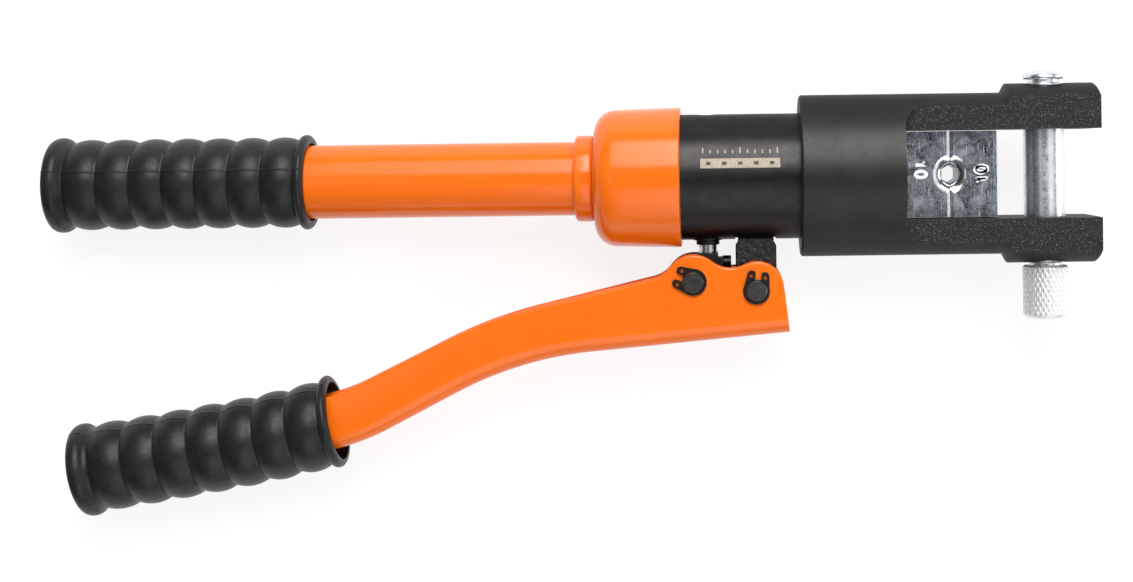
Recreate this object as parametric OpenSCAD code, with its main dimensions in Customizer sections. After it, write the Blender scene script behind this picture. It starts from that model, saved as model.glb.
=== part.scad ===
// Hydraulic hand crimping tool: a fork head with a die pair and a lock pin, a ram cylinder,
// an oil reservoir in the fixed handle and a pump lever pressed from sheet steel.
// The origin is the crimp centre. +X runs along the ram axis towards the lock pin, +Y points
// from the pump lever to the fixed handle, and +Z is up, parallel to the lever's pins.
// Lengths are in millimetres.

/* [Head] */
// Crimp centre to the rear face of the head
head_back = 59.1; // [56:0.1:64]
// Radius of the head's round body
head_r = 32.2; // [31:0.2:35]
// Crimp centre to the tips of the fork
fork_reach = 58.4; // [56:0.2:64]
// Crimp centre to the cone that leads up to the lugs
lug_start = 21.5; // [19:0.5:24]
// Length of that cone
lug_cone = 2; // [1:0.5:4]
// Radius of the two lugs that carry the lock pin
lug_r = 35.8; // [34:0.2:38]
// Half the thickness of the fork over its flats
flat_half = 18; // [16:0.5:20]
// Crimp centre back to the wall of the milled pocket
pocket_back = 18.9; // [18:0.1:22]
// Corner radius of the milled pocket
pocket_corner = 9; // [5:0.5:11]
// Half the width of the die slot
slot_half = 17.4; // [17:0.1:19]
// Chamfer on the head's turned and milled edges
head_chamfer = 0.7; // [0.5:0.1:1.5]
// Depth of the socket that takes the cylinder's neck
socket_depth = 26.8; // [22:0.2:30]

/* [Lock pin] */
// Tips of the fork back to the axis of the lock pin
pin_setback = 19.6; // [16:0.1:21]
// Radius of the lock pin
pin_r = 8.2; // [7:0.1:9]
// Radius of the pin's two necks
pin_neck_r = 6.6; // [5:0.1:6.8]
// Length of the neck beside the domed end
pin_top_neck = 1.5; // [1:0.1:3]
// Height of the domed end
pin_dome = 3.4; // [2:0.1:6]
// Length of the neck between the lug and the knob
pin_low_neck = 1.2; // [1:0.1:4]
// Radius of the knob
knob_r = 9; // [8.6:0.1:11]
// Length of the knob
knob_len = 21.1; // [16:0.1:28]
// Rounding of the knob's outer rim
knob_round = 2.4; // [1:0.1:3]

/* [Dies] */
// Length of each die along the ram axis
die_len = 18.45; // [17:0.05:18.6]
// Half the height of the dies in the slot
die_half = 17; // [15:0.1:17]
// Half the thickness of the dies
die_thick_half = 11; // [9:0.5:13]
// Gap left between the closed dies
die_gap = 0.3; // [0.2:0.05:0.6]
// Hexagon of the crimp, across flats
nest_flats = 6.75; // [6:0.05:10]
// Bell mouth of the crimp, across flats
mouth_flats = 13.7; // [12:0.1:16]
// Depth of the bell mouth
mouth_depth = 3.5; // [2:0.1:5]
// Chamfer along the parting faces
die_chamfer = 1.2; // [0.5:0.1:1.8]
// Depth of the round seat on the back of the upper die
seat_depth = 3; // [2:0.1:4]
// Radius of the spigot on the back of the lower die
spigot_r = 7; // [5:0.1:9]
// Length of that spigot
spigot_len = 6; // [5:0.5:9]

/* [Ram and cylinder] */
// Radius of the cylinder
cyl_r = 25; // [24.8:0.1:27]
// Length of cylinder that shows between head and reservoir cup
cyl_len = 47.1; // [45:0.1:60]
// Radius of the cylinder's neck in the head
neck_r = 23; // [22:0.1:24]
// Radius of the cylinder's bore
bore_r = 19; // [18:0.1:20]
// Radius of the ram's rod
ram_r = 14; // [12:0.1:15]
// Length of the piston
piston_len = 14; // [12:0.5:16]
// Radius of the return spring's wire
return_wire_r = 1.3; // [1:0.1:1.5]
// Turns of the return spring
return_turns = 6; // [4:1:7]

/* [Reservoir and handle] */
// Length of the reservoir cup
cup_len = 34.4; // [33:0.2:45]
// Radius of the cup at its rim
cup_rim_r = 27.9; // [27.5:0.1:30]
// Radius of the cup where its corner starts
cup_back_r = 27.2; // [27:0.1:30]
// Corner radius of the cup
cup_corner = 8.5; // [6:0.5:10]
// Radius of the cylinder's thread in the cup
cup_thread_r = 24; // [22:0.1:24.5]
// Length of that thread
cup_thread_len = 12; // [10:0.5:14]
// Length of the collar behind the cup
collar_len = 7.8; // [5:0.1:9]
// Radius of the collar
collar_r = 17.2; // [16.5:0.1:19]
// Rounding of the collar's edges
collar_round = 1.6; // [0.5:0.1:2]
// Radius of the handle tube
tube_r = 14.7; // [14:0.1:15.5]
// Wall of the handle tube
tube_wall = 2.2; // [1.5:0.1:3]
// Length of bare tube between collar and grip
tube_len = 107.4; // [90:0.1:140]
// Wall of the oil bladder
bladder_wall = 1.5; // [1:0.1:2]
// Length of the oil bladder
bladder_len = 150; // [120:1:170]
// Length of the plug in the tube's end
plug_len = 10; // [6:0.5:16]

/* [Grips] */
// Distance between the centres of a grip's two end beads
grip_len = 98.5; // [90:0.1:120]
// Radius of a grip over its ribs
grip_r = 18.2; // [17.2:0.1:20]
// Depth of the grooves between the ribs
rib_depth = 1.7; // [0.8:0.1:1.9]
// Number of ribs
rib_count = 7; // [5:1:9]
// Radius of a grip over its end beads
bead_r = 19.1; // [18.2:0.1:21]
// Distance between the end beads of the lever's grip, which is stretched less
lever_grip_len = 100.2; // [90:0.1:120]
// How much slimmer the lever's grip is
lever_grip_slim = 0.5; // [0:0.1:1]
// Radius of an end bead's round section
bead_round = 1.9; // [1:0.1:2.2]
// Thickness of a grip's closed end
grip_end = 4.2; // [2.5:0.1:6]
// Radius of a grip's open mouth
mouth_r = 15.6; // [15:0.1:16]

/* [Pump] */
// Rim of the cup to the axis of the pump plunger
plunger_from_cup = 10.2; // [8:0.1:14]
// Radius of the pump plunger
plunger_r = 3.6; // [3:0.05:4.2]
// Plunger axis to the bottom of the ram's chamber
pump_wall = 14.2; // [13.4:0.1:16]
// Top of the plunger below the ram axis
plunger_top = 4; // [3.9:0.1:7]
// Radius of the gland's nose
gland_nose_r = 4.6; // [4.4:0.1:5.4]
// Radius of the gland's thread
gland_thread_r = 5.8; // [5.5:0.1:6.5]
// How far the gland stands out of the cylinder
gland_out = 2; // [2:0.1:4]
// Width of the plunger's head along X, from the plunger's pin to its right face
head_reach = 10; // [9.6:0.1:12]
// Radius of the plunger's head around its pin
plunger_eye_r = 8.6; // [8:0.1:9.5]
// Radius of the pivot block around its pin
pivot_eye_r = 8.1; // [7:0.1:9]
// Depth of the flat that seats the pivot block
pivot_flat = 1; // [0.5:0.1:1.5]
// Radius of the valve balls
ball_r = 2.5; // [2:0.1:2.6]

/* [Lever] */
// Plunger axis to the plunger's pin
pin_offset = 6; // [5:0.1:7]
// Distance between the two lever pins along X
pin_pitch = 25.1; // [24:0.1:32]
// Pivot pin below the surface of the cylinder
pivot_drop = 19.8; // [18:0.1:24]
// Plunger's pin above the pivot pin
pin_rise = 3.6; // [0:0.1:5]
// Radius of the lever pins
lever_pin_r = 4.3; // [4:0.1:5.5]
// Half the width of the lever
lever_half = 10; // [9:0.1:12]
// Thickness of the lever's sheet
sheet = 3; // [2:0.1:3.2]
// Outer bend radius of the sheet
bend_r = 4; // [3.2:0.1:5]
// Depth of the channel that carries the grip
channel_depth = 21.3; // [18:0.1:21.4]
// Pivot pin to the right end of the lever
lever_nose = 11.7; // [10.5:0.1:16]
// Pivot pin to the underside of the lever
lever_belly = 18.2; // [16:0.1:22]
// Slope of the lever's straight pivot end
slope_front = 5; // [3:0.5:7]
// Slope of the lever's steep middle
slope_middle = 27.3; // [24:0.1:30]
// Slope of the lever's grip end
slope_grip = 10.4; // [8:0.1:14]
// Length of the straight pivot end
front_len = 79.3; // [74:0.1:90]
// Length of the straight steep middle
middle_len = 30.3; // [15:0.1:36]
// Bend radius of the lever's long front curve
curve_r = 145; // [130:1:170]
// Bend radius of the curve at the grip
grip_curve_r = 90; // [70:1:110]
// Depth of the channel where the front curve ends
middle_depth = 20.6; // [19:0.1:21.4]
// Depth of the lever at the start of its first long curve
waist_depth = 22.9; // [21:0.1:26]
// Slope of the lever's upper edge there
waist_slope = 13.3; // [12:0.1:15]
// Radius of the hump over the plunger's pin
hump_r = 11.4; // [10:0.1:13]
// Radius of the hump over the pivot pin
nose_r = 10.7; // [10:0.1:12]
// Radius of the valley between the humps
valley_r = 12; // [10:0.5:15]
// Radius of the fillet behind the rear hump
fillet_r = 12; // [8:0.5:16]

/* [Hidden] */

$fn = 96;
ORANGE = "#f97418";
BLACK = "#333435";
RUBBER = "#2f3133";
ZINC = "#c9cfd6";
STEEL = "#a9adb2";

// Fits
run_fit = 0.05;          // radial, a part that turns or slides in its bore
static_fit = 0.05;       // radial, a part that is screwed or pushed in
free_gap = 0.3;          // between pieces that pass each other
cut = 1;                 // how far a cutter runs past a face

// Stations along the ram axis
head_rear = -head_back;
socket_end = head_rear + socket_depth;
slot_floor = -pocket_back;
cup_rim = head_rear - cyl_len;
cup_end = cup_rim - cup_len;
block_back = cup_rim - cup_thread_len;
collar_end = cup_end - collar_len;
plunger_x = cup_rim + plunger_from_cup;
chamber_back = plunger_x + pump_wall;
piston_back = chamber_back + free_gap;
piston_front = piston_back + piston_len;
pin_x = fork_reach - pin_setback;
piston_groove = 3;

// The pocket's plan reaches just past the edge where the flat meets the round body
flat_edge = sqrt(head_r * head_r - flat_half * flat_half) + 0.5;

// Ram scraper in the floor of the die slot
scraper_in = 5;
scraper_len = 2;
scraper_r = ram_r + 1.6;

// Handle
grip_mouth = collar_end - tube_len;
tube_bore = tube_r - tube_wall;
grip_bore = tube_r + static_fit;
boss_len = 10;
boss_r = tube_bore - static_fit;
nipple_len = 8;
nipple_r = 8;
boss_end = block_back - boss_len;
nipple_end = boss_end - nipple_len;
tube_end = grip_mouth - grip_len - bead_round + grip_end;
bladder_r = tube_bore - 0.5;
bladder_neck_r = nipple_r + bladder_wall;
bladder_end = boss_end - bladder_len;

// Dies and stroke
parting = die_gap / 2;
upper_back = parting + die_len;
seat_r = pin_r + 0.1;
nest_r = nest_flats / sqrt(3);
mouth_radius = mouth_flats / sqrt(3);
lower_back = -parting - die_len;
ring_x = lower_back - spigot_len / 2;
ring_len = 2;
ring_depth = 1.2;

// Lever pins
pivot = [plunger_x - pin_offset + pin_pitch, -cyl_r - pivot_drop];
plunger_pin_at = [plunger_x - pin_offset, pivot[1] + pin_rise];
pin_half = lever_half + 2.3;
clip_thick = 1;
clip_z = lever_half + 0.15;
inner_half = lever_half - sheet;
block_half = inner_half - free_gap;
inner_bend = 1;

// Play of the lever's pin in the plunger's eye, which takes up the swing of the lever
eye_play_left = 0.5;
eye_play_right = 1.05;
eye_r = lever_pin_r + 0.2;

// Pump
pump_bore_top = 3.5;
gland_in = cyl_r - 8;
seal_len = 2.8;
passage_y = 1.5;
passage_r = 1.2;
valve_r = 3;
head_top = -cyl_r - 5.2;
head_right = plunger_pin_at[0] + head_reach;
screw_y = head_top - 3.7;
stud_end = head_top - 5.4;
release_seat = cyl_r - 16;
release_r = 1.5;
release_tip = 0;
plug_seat = cyl_r - 6;
relief_at = (cyl_r - 7.5) * [0.5, 0.8663];

// Valves: seats along X from the plunger's axis, and the ball's centre over its seat's face
inlet_shoulder = 6;
inlet_face = plunger_x - inlet_shoulder - 10;
outlet_seat = 5;
retainer_len = 1.8;
ball_lift = sqrt(ball_r * ball_r - passage_r * passage_r);
relief_seat = 6;
relief_len = 5;
relief_spring_len = 9;
relief_cone_x = plunger_x + relief_seat;
release_lift = sqrt(ball_r * ball_r - release_r * release_r);

function dir(a) = [cos(a), sin(a)];
function normal(a) = [-sin(a), cos(a)];
function arc(c, r, a0, a1, n) = [for (i = [0:n]) c + r * dir(a0 + (a1 - a0) * i / n)];
function angle_of(v) = atan2(v[1], v[0]);
// Where the line through p at angle a meets the line through q at angle b
function meet(p, a, q, b) =
    let (d = q - p, s = (d[0] * sin(b) - d[1] * cos(b)) / sin(b - a)) p + s * dir(a);
// Centre of a circle at distance r from p and s from q, on the left of the way from p to q
function beside(p, r, q, s) =
    let (d = norm(q - p), u = (q - p) / d, x = (d * d + r * r - s * s) / (2 * d))
    p + x * u + sqrt(r * r - x * x) * [-u[1], u[0]];
// Centre of a circle that stands at height h over the line through p at angle a, r from c
function over_line(p, a, h, c, r) =
    let (k = (c - p) * normal(a), x = (c - p) * dir(a))
    p + (x - sqrt(r * r - (k - h) * (k - h))) * dir(a) + h * normal(a);

// Lever outline: its underside runs from the nose through two long curves to the grip
belly_nose = pivot + lever_nose * dir(slope_front) - lever_belly * normal(slope_front);
curve1_start = belly_nose - front_len * dir(slope_front);
curve1_centre = curve1_start - curve_r * normal(slope_front);
curve1_end = curve1_centre + curve_r * normal(slope_middle);
curve2_start = curve1_end - middle_len * dir(slope_middle);
curve2_centre = curve2_start + grip_curve_r * normal(slope_middle);
curve2_end = curve2_centre - grip_curve_r * normal(slope_grip);
mouth_ahead = 3.6;
lever_grip_mouth = curve2_end + channel_depth / 2 * normal(slope_grip) + mouth_ahead * dir(slope_grip);
lever_end = curve2_end - (lever_grip_len - mouth_ahead - 4.5) * dir(slope_grip);

// Upper edge of the lever over its front half
waist = curve1_start + waist_depth * normal(slope_front);
middle_top = curve1_end + middle_depth * normal(slope_middle);
top_corner = meet(waist, waist_slope, middle_top, slope_middle);
top_reach = norm(top_corner - middle_top);
top_curve_r = top_reach / tan((slope_middle - waist_slope) / 2);
top_centre = middle_top - top_curve_r * normal(slope_middle);
hump = plunger_pin_at + [0.2, -0.6];
nose = pivot + [0.2, 0.8];
fillet_centre = over_line(waist, waist_slope, fillet_r, hump, hump_r + fillet_r);
valley_centre = beside(hump, hump_r + valley_r, nose, nose_r + valley_r);

function lever_side() = concat(
    [lever_end - 5 * normal(slope_grip)],
    [lever_end + channel_depth * normal(slope_grip)],
    arc(curve2_centre, grip_curve_r - channel_depth, slope_grip - 88.7, slope_middle - 90, 10),
    arc(top_centre, top_curve_r, 90 + slope_middle, 90 + waist_slope, 10),
    arc(fillet_centre, fillet_r, waist_slope - 90, angle_of(hump - fillet_centre), 8),
    arc(hump, hump_r, angle_of(fillet_centre - hump), angle_of(valley_centre - hump), 14),
    arc(valley_centre, valley_r, angle_of(hump - valley_centre) + 360,
        angle_of(nose - valley_centre) + 360, 8),
    arc(nose, nose_r, angle_of(valley_centre - nose), -slope_front, 14),
    [belly_nose + [0.6, -6]],
    [curve1_end - 30 * normal(slope_middle)]
);

// Straight round bar along X, Y or Z
module bar_x(x0, x1, r, y = 0, z = 0) {
    translate([x0, y, z]) rotate([0, 90, 0]) cylinder(h = x1 - x0, r = r);
}

module bar_y(y0, y1, r, x = 0, z = 0) {
    translate([x, y1, z]) rotate([90, 0, 0]) cylinder(h = y1 - y0, r = r);
}

module bar_z(z0, z1, r, at) {
    translate([at[0], at[1], z0]) cylinder(h = z1 - z0, r = r);
}

// Cone along X
module cone_x(x0, x1, r0, r1) {
    translate([x0, 0, 0]) rotate([0, 90, 0]) cylinder(h = x1 - x0, r1 = r0, r2 = r1);
}

// Body of revolution about X from points [radius, x]
module turned_x(points) {
    rotate([0, 90, 0]) rotate_extrude() polygon(points);
}

// Body of revolution about the Y direction from points [radius, y]
module turned_y(points, x) {
    translate([x, 0, 0]) rotate([-90, 0, 0]) rotate_extrude() polygon(points);
}

// Coil spring along +Z from z = 0, with its wire inside that length
module coil(length, mean_r, wire_r, turns) {
    sides = 6;
    steps = 14;
    rings = turns * steps;
    rise = length - 2 * wire_r;
    points = [
        for (i = [0:rings]) for (j = [0:sides - 1])
            let (a = 360 * i / steps, b = 360 * j / sides, r = mean_r + wire_r * cos(b))
            [r * cos(a), r * sin(a), wire_r + rise * i / rings + wire_r * sin(b)]
    ];
    walls = [
        for (i = [0:rings - 1]) for (j = [0:sides - 1])
            let (k = (j + 1) % sides)
            [i * sides + j, (i + 1) * sides + j, (i + 1) * sides + k, i * sides + k]
    ];
    start = [for (j = [0:sides - 1]) j];
    finish = [for (j = [0:sides - 1]) rings * sides + sides - 1 - j];
    polyhedron(points, concat(walls, [start], [finish]));
}

// ---- Head ----

module pocket_plan() {
    translate([slot_floor + pocket_corner, -flat_edge]) square([fork_reach + 40, 2 * flat_edge]);
    translate([slot_floor, pocket_corner - flat_edge])
        square([pocket_corner + cut, 2 * (flat_edge - pocket_corner)]);
    translate([slot_floor + pocket_corner, flat_edge - pocket_corner]) circle(r = pocket_corner);
    translate([slot_floor + pocket_corner, pocket_corner - flat_edge]) circle(r = pocket_corner);
    translate([0, -lug_r - cut]) square([fork_reach + 40, 2 * (lug_r + cut)]);
}

module head_yoke() {
    color(BLACK)
    difference() {
        turned_x([
            [0, head_rear],
            [head_r - head_chamfer, head_rear],
            [head_r, head_rear + head_chamfer],
            [head_r, lug_start],
            [lug_r, lug_start + lug_cone],
            [lug_r, fork_reach - head_chamfer],
            [lug_r - head_chamfer, fork_reach],
            [0, fork_reach]
        ]);
        translate([0, 0, flat_half]) linear_extrude(lug_r) pocket_plan();
        mirror([0, 0, 1]) translate([0, 0, flat_half]) linear_extrude(lug_r) pocket_plan();
        translate([slot_floor, -slot_half, -lug_r]) cube([fork_reach + 40, 2 * slot_half, 2 * lug_r]);
        bar_x(head_rear - cut, socket_end, neck_r + static_fit);
        bar_x(socket_end - cut, slot_floor + cut, ram_r + run_fit);
        bar_x(slot_floor - scraper_in, slot_floor - scraper_in + scraper_len, scraper_r);
        bar_y(-lug_r - cut, lug_r + cut, pin_r + run_fit, pin_x);
    }
}

module ram_scraper() {
    x = slot_floor - scraper_in;
    color(RUBBER)
    difference() {
        bar_x(x, x + scraper_len, scraper_r);
        bar_x(x - cut, x + scraper_len + cut, ram_r + run_fit);
    }
}

module lock_pin() {
    y_top = lug_r + pin_top_neck;
    rim = pin_dome * 0.4;
    color(ZINC)
    turned_y([
        [0, -lug_r - pin_low_neck - knob_len / 2],
        [pin_neck_r - 2, -lug_r - pin_low_neck - knob_len / 2],
        [pin_neck_r - 2, -lug_r - pin_low_neck],
        [pin_neck_r, -lug_r - pin_low_neck],
        [pin_neck_r, -lug_r],
        [pin_r, -lug_r + 0.8],
        [pin_r, lug_r - 0.4],
        [pin_neck_r, lug_r],
        [pin_neck_r, y_top],
        [pin_r - 0.4, y_top],
        [pin_r, y_top + 0.4],
        [pin_r, y_top + rim],
        [pin_r - 0.6, y_top + pin_dome * 0.65],
        [pin_r - 2.2, y_top + pin_dome * 0.88],
        [pin_r - 4.6, y_top + pin_dome],
        [0, y_top + pin_dome]
    ], pin_x);
}

module lock_pin_knob() {
    y0 = -lug_r - pin_low_neck;
    y1 = y0 - knob_len;
    bore = pin_neck_r - 2 + static_fit;
    color(ZINC)
    difference() {
        turned_y(concat(
            [[0, y0], [knob_r - 0.6, y0], [knob_r, y0 - 0.6]],
            arc([knob_r - knob_round, y1 + knob_round], knob_round, 0, -90, 6),
            [[0, y1]]
        ), pin_x);
        bar_y(y0 - knob_len / 2 - static_fit, y0 + cut, bore, pin_x);
    }
}

// ---- Dies ----

// Cutter for the crimp: a hexagon through the pair with a bell mouth at each face
module nest_cutter() {
    rotate([0, 0, 90]) {
        translate([0, 0, -die_thick_half - cut])
            cylinder(h = 2 * (die_thick_half + cut), r = nest_r, $fn = 6);
        for (side = [0, 1]) mirror([0, 0, side])
            translate([0, 0, die_thick_half - mouth_depth])
                cylinder(h = mouth_depth + 0.01, r1 = nest_r, r2 = mouth_radius, $fn = 6);
    }
}

// Die blank on the +X side of the crimp, chamfered along its parting face
module die_blank() {
    translate([0, die_half, 0]) rotate([90, 0, 0]) linear_extrude(2 * die_half) polygon([
        [parting, -die_thick_half + die_chamfer],
        [parting + die_chamfer, -die_thick_half],
        [upper_back, -die_thick_half],
        [upper_back, die_thick_half],
        [parting + die_chamfer, die_thick_half],
        [parting, die_thick_half - die_chamfer]
    ]);
}

module upper_die() {
    color(ZINC)
    difference() {
        die_blank();
        nest_cutter();
        bar_y(-die_half - cut, die_half + cut, seat_r, upper_back - seat_depth + seat_r);
    }
}

module lower_die() {
    color(ZINC)
    union() {
        difference() {
            mirror([1, 0, 0]) die_blank();
            nest_cutter();
        }
        difference() {
            bar_x(lower_back - spigot_len, lower_back + cut, spigot_r);
            bar_x(ring_x - ring_len / 2, ring_x + ring_len / 2, spigot_r + cut);
        }
        bar_x(ring_x - ring_len / 2, ring_x + ring_len / 2, spigot_r - ring_depth);
    }
}

module die_ring() {
    color(RUBBER)
    difference() {
        bar_x(ring_x - ring_len / 2, ring_x + ring_len / 2, spigot_r);
        bar_x(ring_x - ring_len, ring_x + ring_len, spigot_r - ring_depth);
    }
}

// ---- Ram ----

module ram() {
    groove_at = piston_back + (piston_len - piston_groove) / 2;
    color(STEEL)
    difference() {
        turned_x([
            [0, piston_back],
            [bore_r - run_fit - 0.6, piston_back],
            [bore_r - run_fit, piston_back + 0.6],
            [bore_r - run_fit, groove_at],
            [bore_r - 2.5, groove_at],
            [bore_r - 2.5, groove_at + piston_groove],
            [bore_r - run_fit, groove_at + piston_groove],
            [bore_r - run_fit, piston_front],
            [ram_r, piston_front],
            [ram_r, lower_back],
            [0, lower_back]
        ]);
        bar_x(lower_back - spigot_len - 0.5, lower_back + cut, spigot_r + static_fit);
    }
}

module piston_seal() {
    groove_at = piston_back + (piston_len - piston_groove) / 2;
    color(RUBBER)
    difference() {
        bar_x(groove_at, groove_at + piston_groove, bore_r - run_fit);
        bar_x(groove_at - cut, groove_at + piston_groove + cut, bore_r - 2.5);
    }
}

module ram_return_spring() {
    mean = (ram_r + bore_r) / 2;
    color(STEEL)
    translate([piston_front, 0, 0]) rotate([0, 90, 0])
        coil(socket_end - piston_front, mean, return_wire_r, return_turns);
}

// ---- Cylinder and pump body ----

module cylinder_body() {
    color(BLACK)
    difference() {
        union() {
            bar_x(cup_rim, head_rear, cyl_r);
            bar_x(block_back, cup_rim, cup_thread_r);
            bar_x(head_rear, socket_end, neck_r);
            bar_x(boss_end, block_back, boss_r);
            bar_x(nipple_end, boss_end, nipple_r);
        }
        bar_x(chamber_back, socket_end + cut, bore_r);
        translate([pivot[0] - pivot_eye_r, -cyl_r - cut, -block_half])
            cube([2 * pivot_eye_r, pivot_flat + cut, 2 * block_half]);
        bar_y(-cyl_r, pump_bore_top, plunger_r + run_fit, plunger_x);
        bar_y(-cyl_r - cut, -gland_in + seal_len, gland_thread_r + static_fit, plunger_x);
        // inlet valve
        bar_x(nipple_end - cut, plunger_x - inlet_shoulder, valve_r + static_fit, passage_y);
        bar_x(plunger_x - inlet_shoulder - cut, plunger_x, passage_r, passage_y);
        // outlet valve
        bar_x(plunger_x, plunger_x + outlet_seat + cut, passage_r, passage_y);
        bar_x(plunger_x + outlet_seat, chamber_back + cut, valve_r + static_fit, passage_y);
        // relief valve
        bar_x(block_back - cut, plunger_x + relief_seat, valve_r + static_fit, relief_at[0], relief_at[1]);
        bar_x(plunger_x + relief_seat - cut, chamber_back + cut, passage_r, relief_at[0], relief_at[1]);
        // release valve
        bar_y(pump_bore_top - cut, release_seat + cut, release_r + run_fit, plunger_x);
        bar_y(release_seat, plug_seat + cut, valve_r, plunger_x);
        bar_y(plug_seat, cyl_r + cut, valve_r + 1, plunger_x);
    }
}

module pivot_block() {
    y0 = -cyl_r + pivot_flat;
    neck = pivot_eye_r - 1;
    y1 = -cyl_r - 2.2;
    color(BLACK)
    difference() {
        union() {
            translate([0, 0, -block_half]) linear_extrude(2 * block_half) polygon([
                [pivot[0] - pivot_eye_r, pivot[1]],
                [pivot[0] - pivot_eye_r, y1],
                [pivot[0] - neck, y1 + 1],
                [pivot[0] - neck, y0],
                [pivot[0] + neck, y0],
                [pivot[0] + neck, y1 + 1],
                [pivot[0] + pivot_eye_r, y1],
                [pivot[0] + pivot_eye_r, pivot[1]]
            ]);
            bar_z(-block_half, block_half, pivot_eye_r, pivot);
        }
        bar_z(-block_half - cut, block_half + cut, lever_pin_r + run_fit, pivot);
    }
}

module plunger_gland() {
    y_out = -cyl_r - gland_out;
    color(BLACK)
    difference() {
        union() {
            bar_y(-cyl_r - 0.2, -gland_in, gland_thread_r, plunger_x);
            bar_y(y_out, -cyl_r, gland_nose_r, plunger_x);
        }
        bar_y(y_out - cut, -gland_in + cut, plunger_r + run_fit, plunger_x);
    }
}

module plunger_seal() {
    color(RUBBER)
    difference() {
        bar_y(-gland_in, -gland_in + seal_len, gland_thread_r, plunger_x);
        bar_y(-gland_in - cut, -gland_in + seal_len + cut, plunger_r + run_fit, plunger_x);
    }
}

// ---- Valves ----

module inlet_seat() {
    color(STEEL)
    difference() {
        bar_x(inlet_face - 4, inlet_face, valve_r, passage_y);
        bar_x(inlet_face - 4 - cut, inlet_face + cut, passage_r, passage_y);
    }
}

module inlet_ball() {
    color(STEEL) translate([inlet_face + ball_lift, passage_y, 0]) sphere(r = ball_r);
}

module inlet_spring() {
    x0 = inlet_face + ball_lift + ball_r;
    color(STEEL)
    translate([x0, passage_y, 0]) rotate([0, 90, 0])
        coil(plunger_x - inlet_shoulder - x0, 2, 0.35, 4);
}

module outlet_ball() {
    color(STEEL) translate([plunger_x + outlet_seat + ball_lift, passage_y, 0]) sphere(r = ball_r);
}

module outlet_spring() {
    x0 = plunger_x + outlet_seat + ball_lift + ball_r;
    color(STEEL)
    translate([x0, passage_y, 0]) rotate([0, 90, 0])
        coil(chamber_back - retainer_len - x0, 2, 0.35, 3);
}

module outlet_retainer() {
    color(STEEL)
    difference() {
        bar_x(chamber_back - retainer_len, chamber_back, valve_r, passage_y);
        bar_x(chamber_back - retainer_len - cut, chamber_back + cut, passage_r, passage_y);
    }
}

module relief_cone() {
    color(STEEL)
    translate([0, relief_at[0], relief_at[1]]) {
        bar_x(relief_cone_x - relief_len, relief_cone_x - 1.6, valve_r - 0.2);
        cone_x(relief_cone_x - 1.6, relief_cone_x, valve_r - 0.2, passage_r - 0.1);
    }
}

module relief_spring() {
    x1 = relief_cone_x - relief_len;
    color(STEEL)
    translate([x1 - relief_spring_len, relief_at[0], relief_at[1]]) rotate([0, 90, 0])
        coil(relief_spring_len, 2.1, 0.5, 5);
}

module relief_screw() {
    x1 = relief_cone_x - relief_len - relief_spring_len;
    color(STEEL)
    translate([0, relief_at[0], relief_at[1]])
    difference() {
        bar_x(x1 - 6, x1, valve_r);
        bar_x(x1 - 6 - cut, x1 - 3.5, 1.5, $fn = 6);
    }
}

module release_pin() {
    color(STEEL)
    bar_y(release_tip, release_seat + release_lift - ball_r, release_r, plunger_x);
}

module release_ball() {
    color(STEEL) translate([plunger_x, release_seat + release_lift + 0.03, 0]) sphere(r = ball_r);
}

module release_spring() {
    y0 = release_seat + release_lift + ball_r + 0.03;
    color(STEEL)
    translate([plunger_x, y0, 0]) rotate([-90, 0, 0]) coil(plug_seat - y0, 2, 0.35, 5);
}

module release_plug() {
    color(BLACK)
    difference() {
        bar_y(plug_seat, cyl_r - 1, valve_r + 1 - static_fit, plunger_x);
        bar_y(cyl_r - 3.5, cyl_r, 1.5, plunger_x, $fn = 6);
    }
}

// ---- Reservoir and handle ----

module reservoir_cup() {
    shoulder = block_back - 1;
    neck_in = cup_end + 6.5;
    color(ORANGE)
    turned_x(concat(
        [[cup_thread_r + static_fit, cup_rim], [cup_rim_r - 0.5, cup_rim], [cup_rim_r, cup_rim - 0.5]],
        arc([cup_back_r - cup_corner, cup_end + cup_corner], cup_corner, 0, -90, 10),
        [[grip_bore, cup_end], [grip_bore, neck_in]],
        [[cup_thread_r + static_fit, shoulder]]
    ));
}

module handle_collar() {
    color(ORANGE)
    turned_x(concat(
        [[grip_bore, cup_end]],
        arc([collar_r - collar_round, cup_end - collar_round], collar_round, 90, 0, 5),
        arc([collar_r - collar_round, collar_end + collar_round], collar_round, 0, -90, 5),
        [[grip_bore, collar_end]]
    ));
}

module handle_tube() {
    color(ORANGE)
    difference() {
        bar_x(tube_end, block_back, tube_r);
        bar_x(tube_end - cut, block_back + cut, tube_bore);
    }
}

module oil_bladder() {
    inner = bladder_r - bladder_wall;
    shoulder = nipple_end - 4;
    color(RUBBER)
    turned_x(concat(
        [[nipple_r + static_fit, boss_end - 0.5], [bladder_neck_r, boss_end - 0.5]],
        [[bladder_neck_r, nipple_end], [bladder_r, shoulder]],
        arc([0, bladder_end + bladder_r], bladder_r, 0, -90, 10),
        arc([0, bladder_end + bladder_r], inner, -90, 0, 10),
        [[inner, shoulder - 1], [nipple_r + static_fit, nipple_end]]
    ));
}

module bladder_clamp() {
    x = (boss_end + nipple_end) / 2;
    color(STEEL)
    difference() {
        bar_x(x - 2.5, x + 2.5, bladder_neck_r + 1.2);
        bar_x(x - 2.5 - cut, x + 2.5 + cut, bladder_neck_r + static_fit);
    }
}

module tube_end_plug() {
    color(BLACK)
    bar_x(tube_end + 0.2, tube_end + plug_len, tube_bore - static_fit);
}

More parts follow.
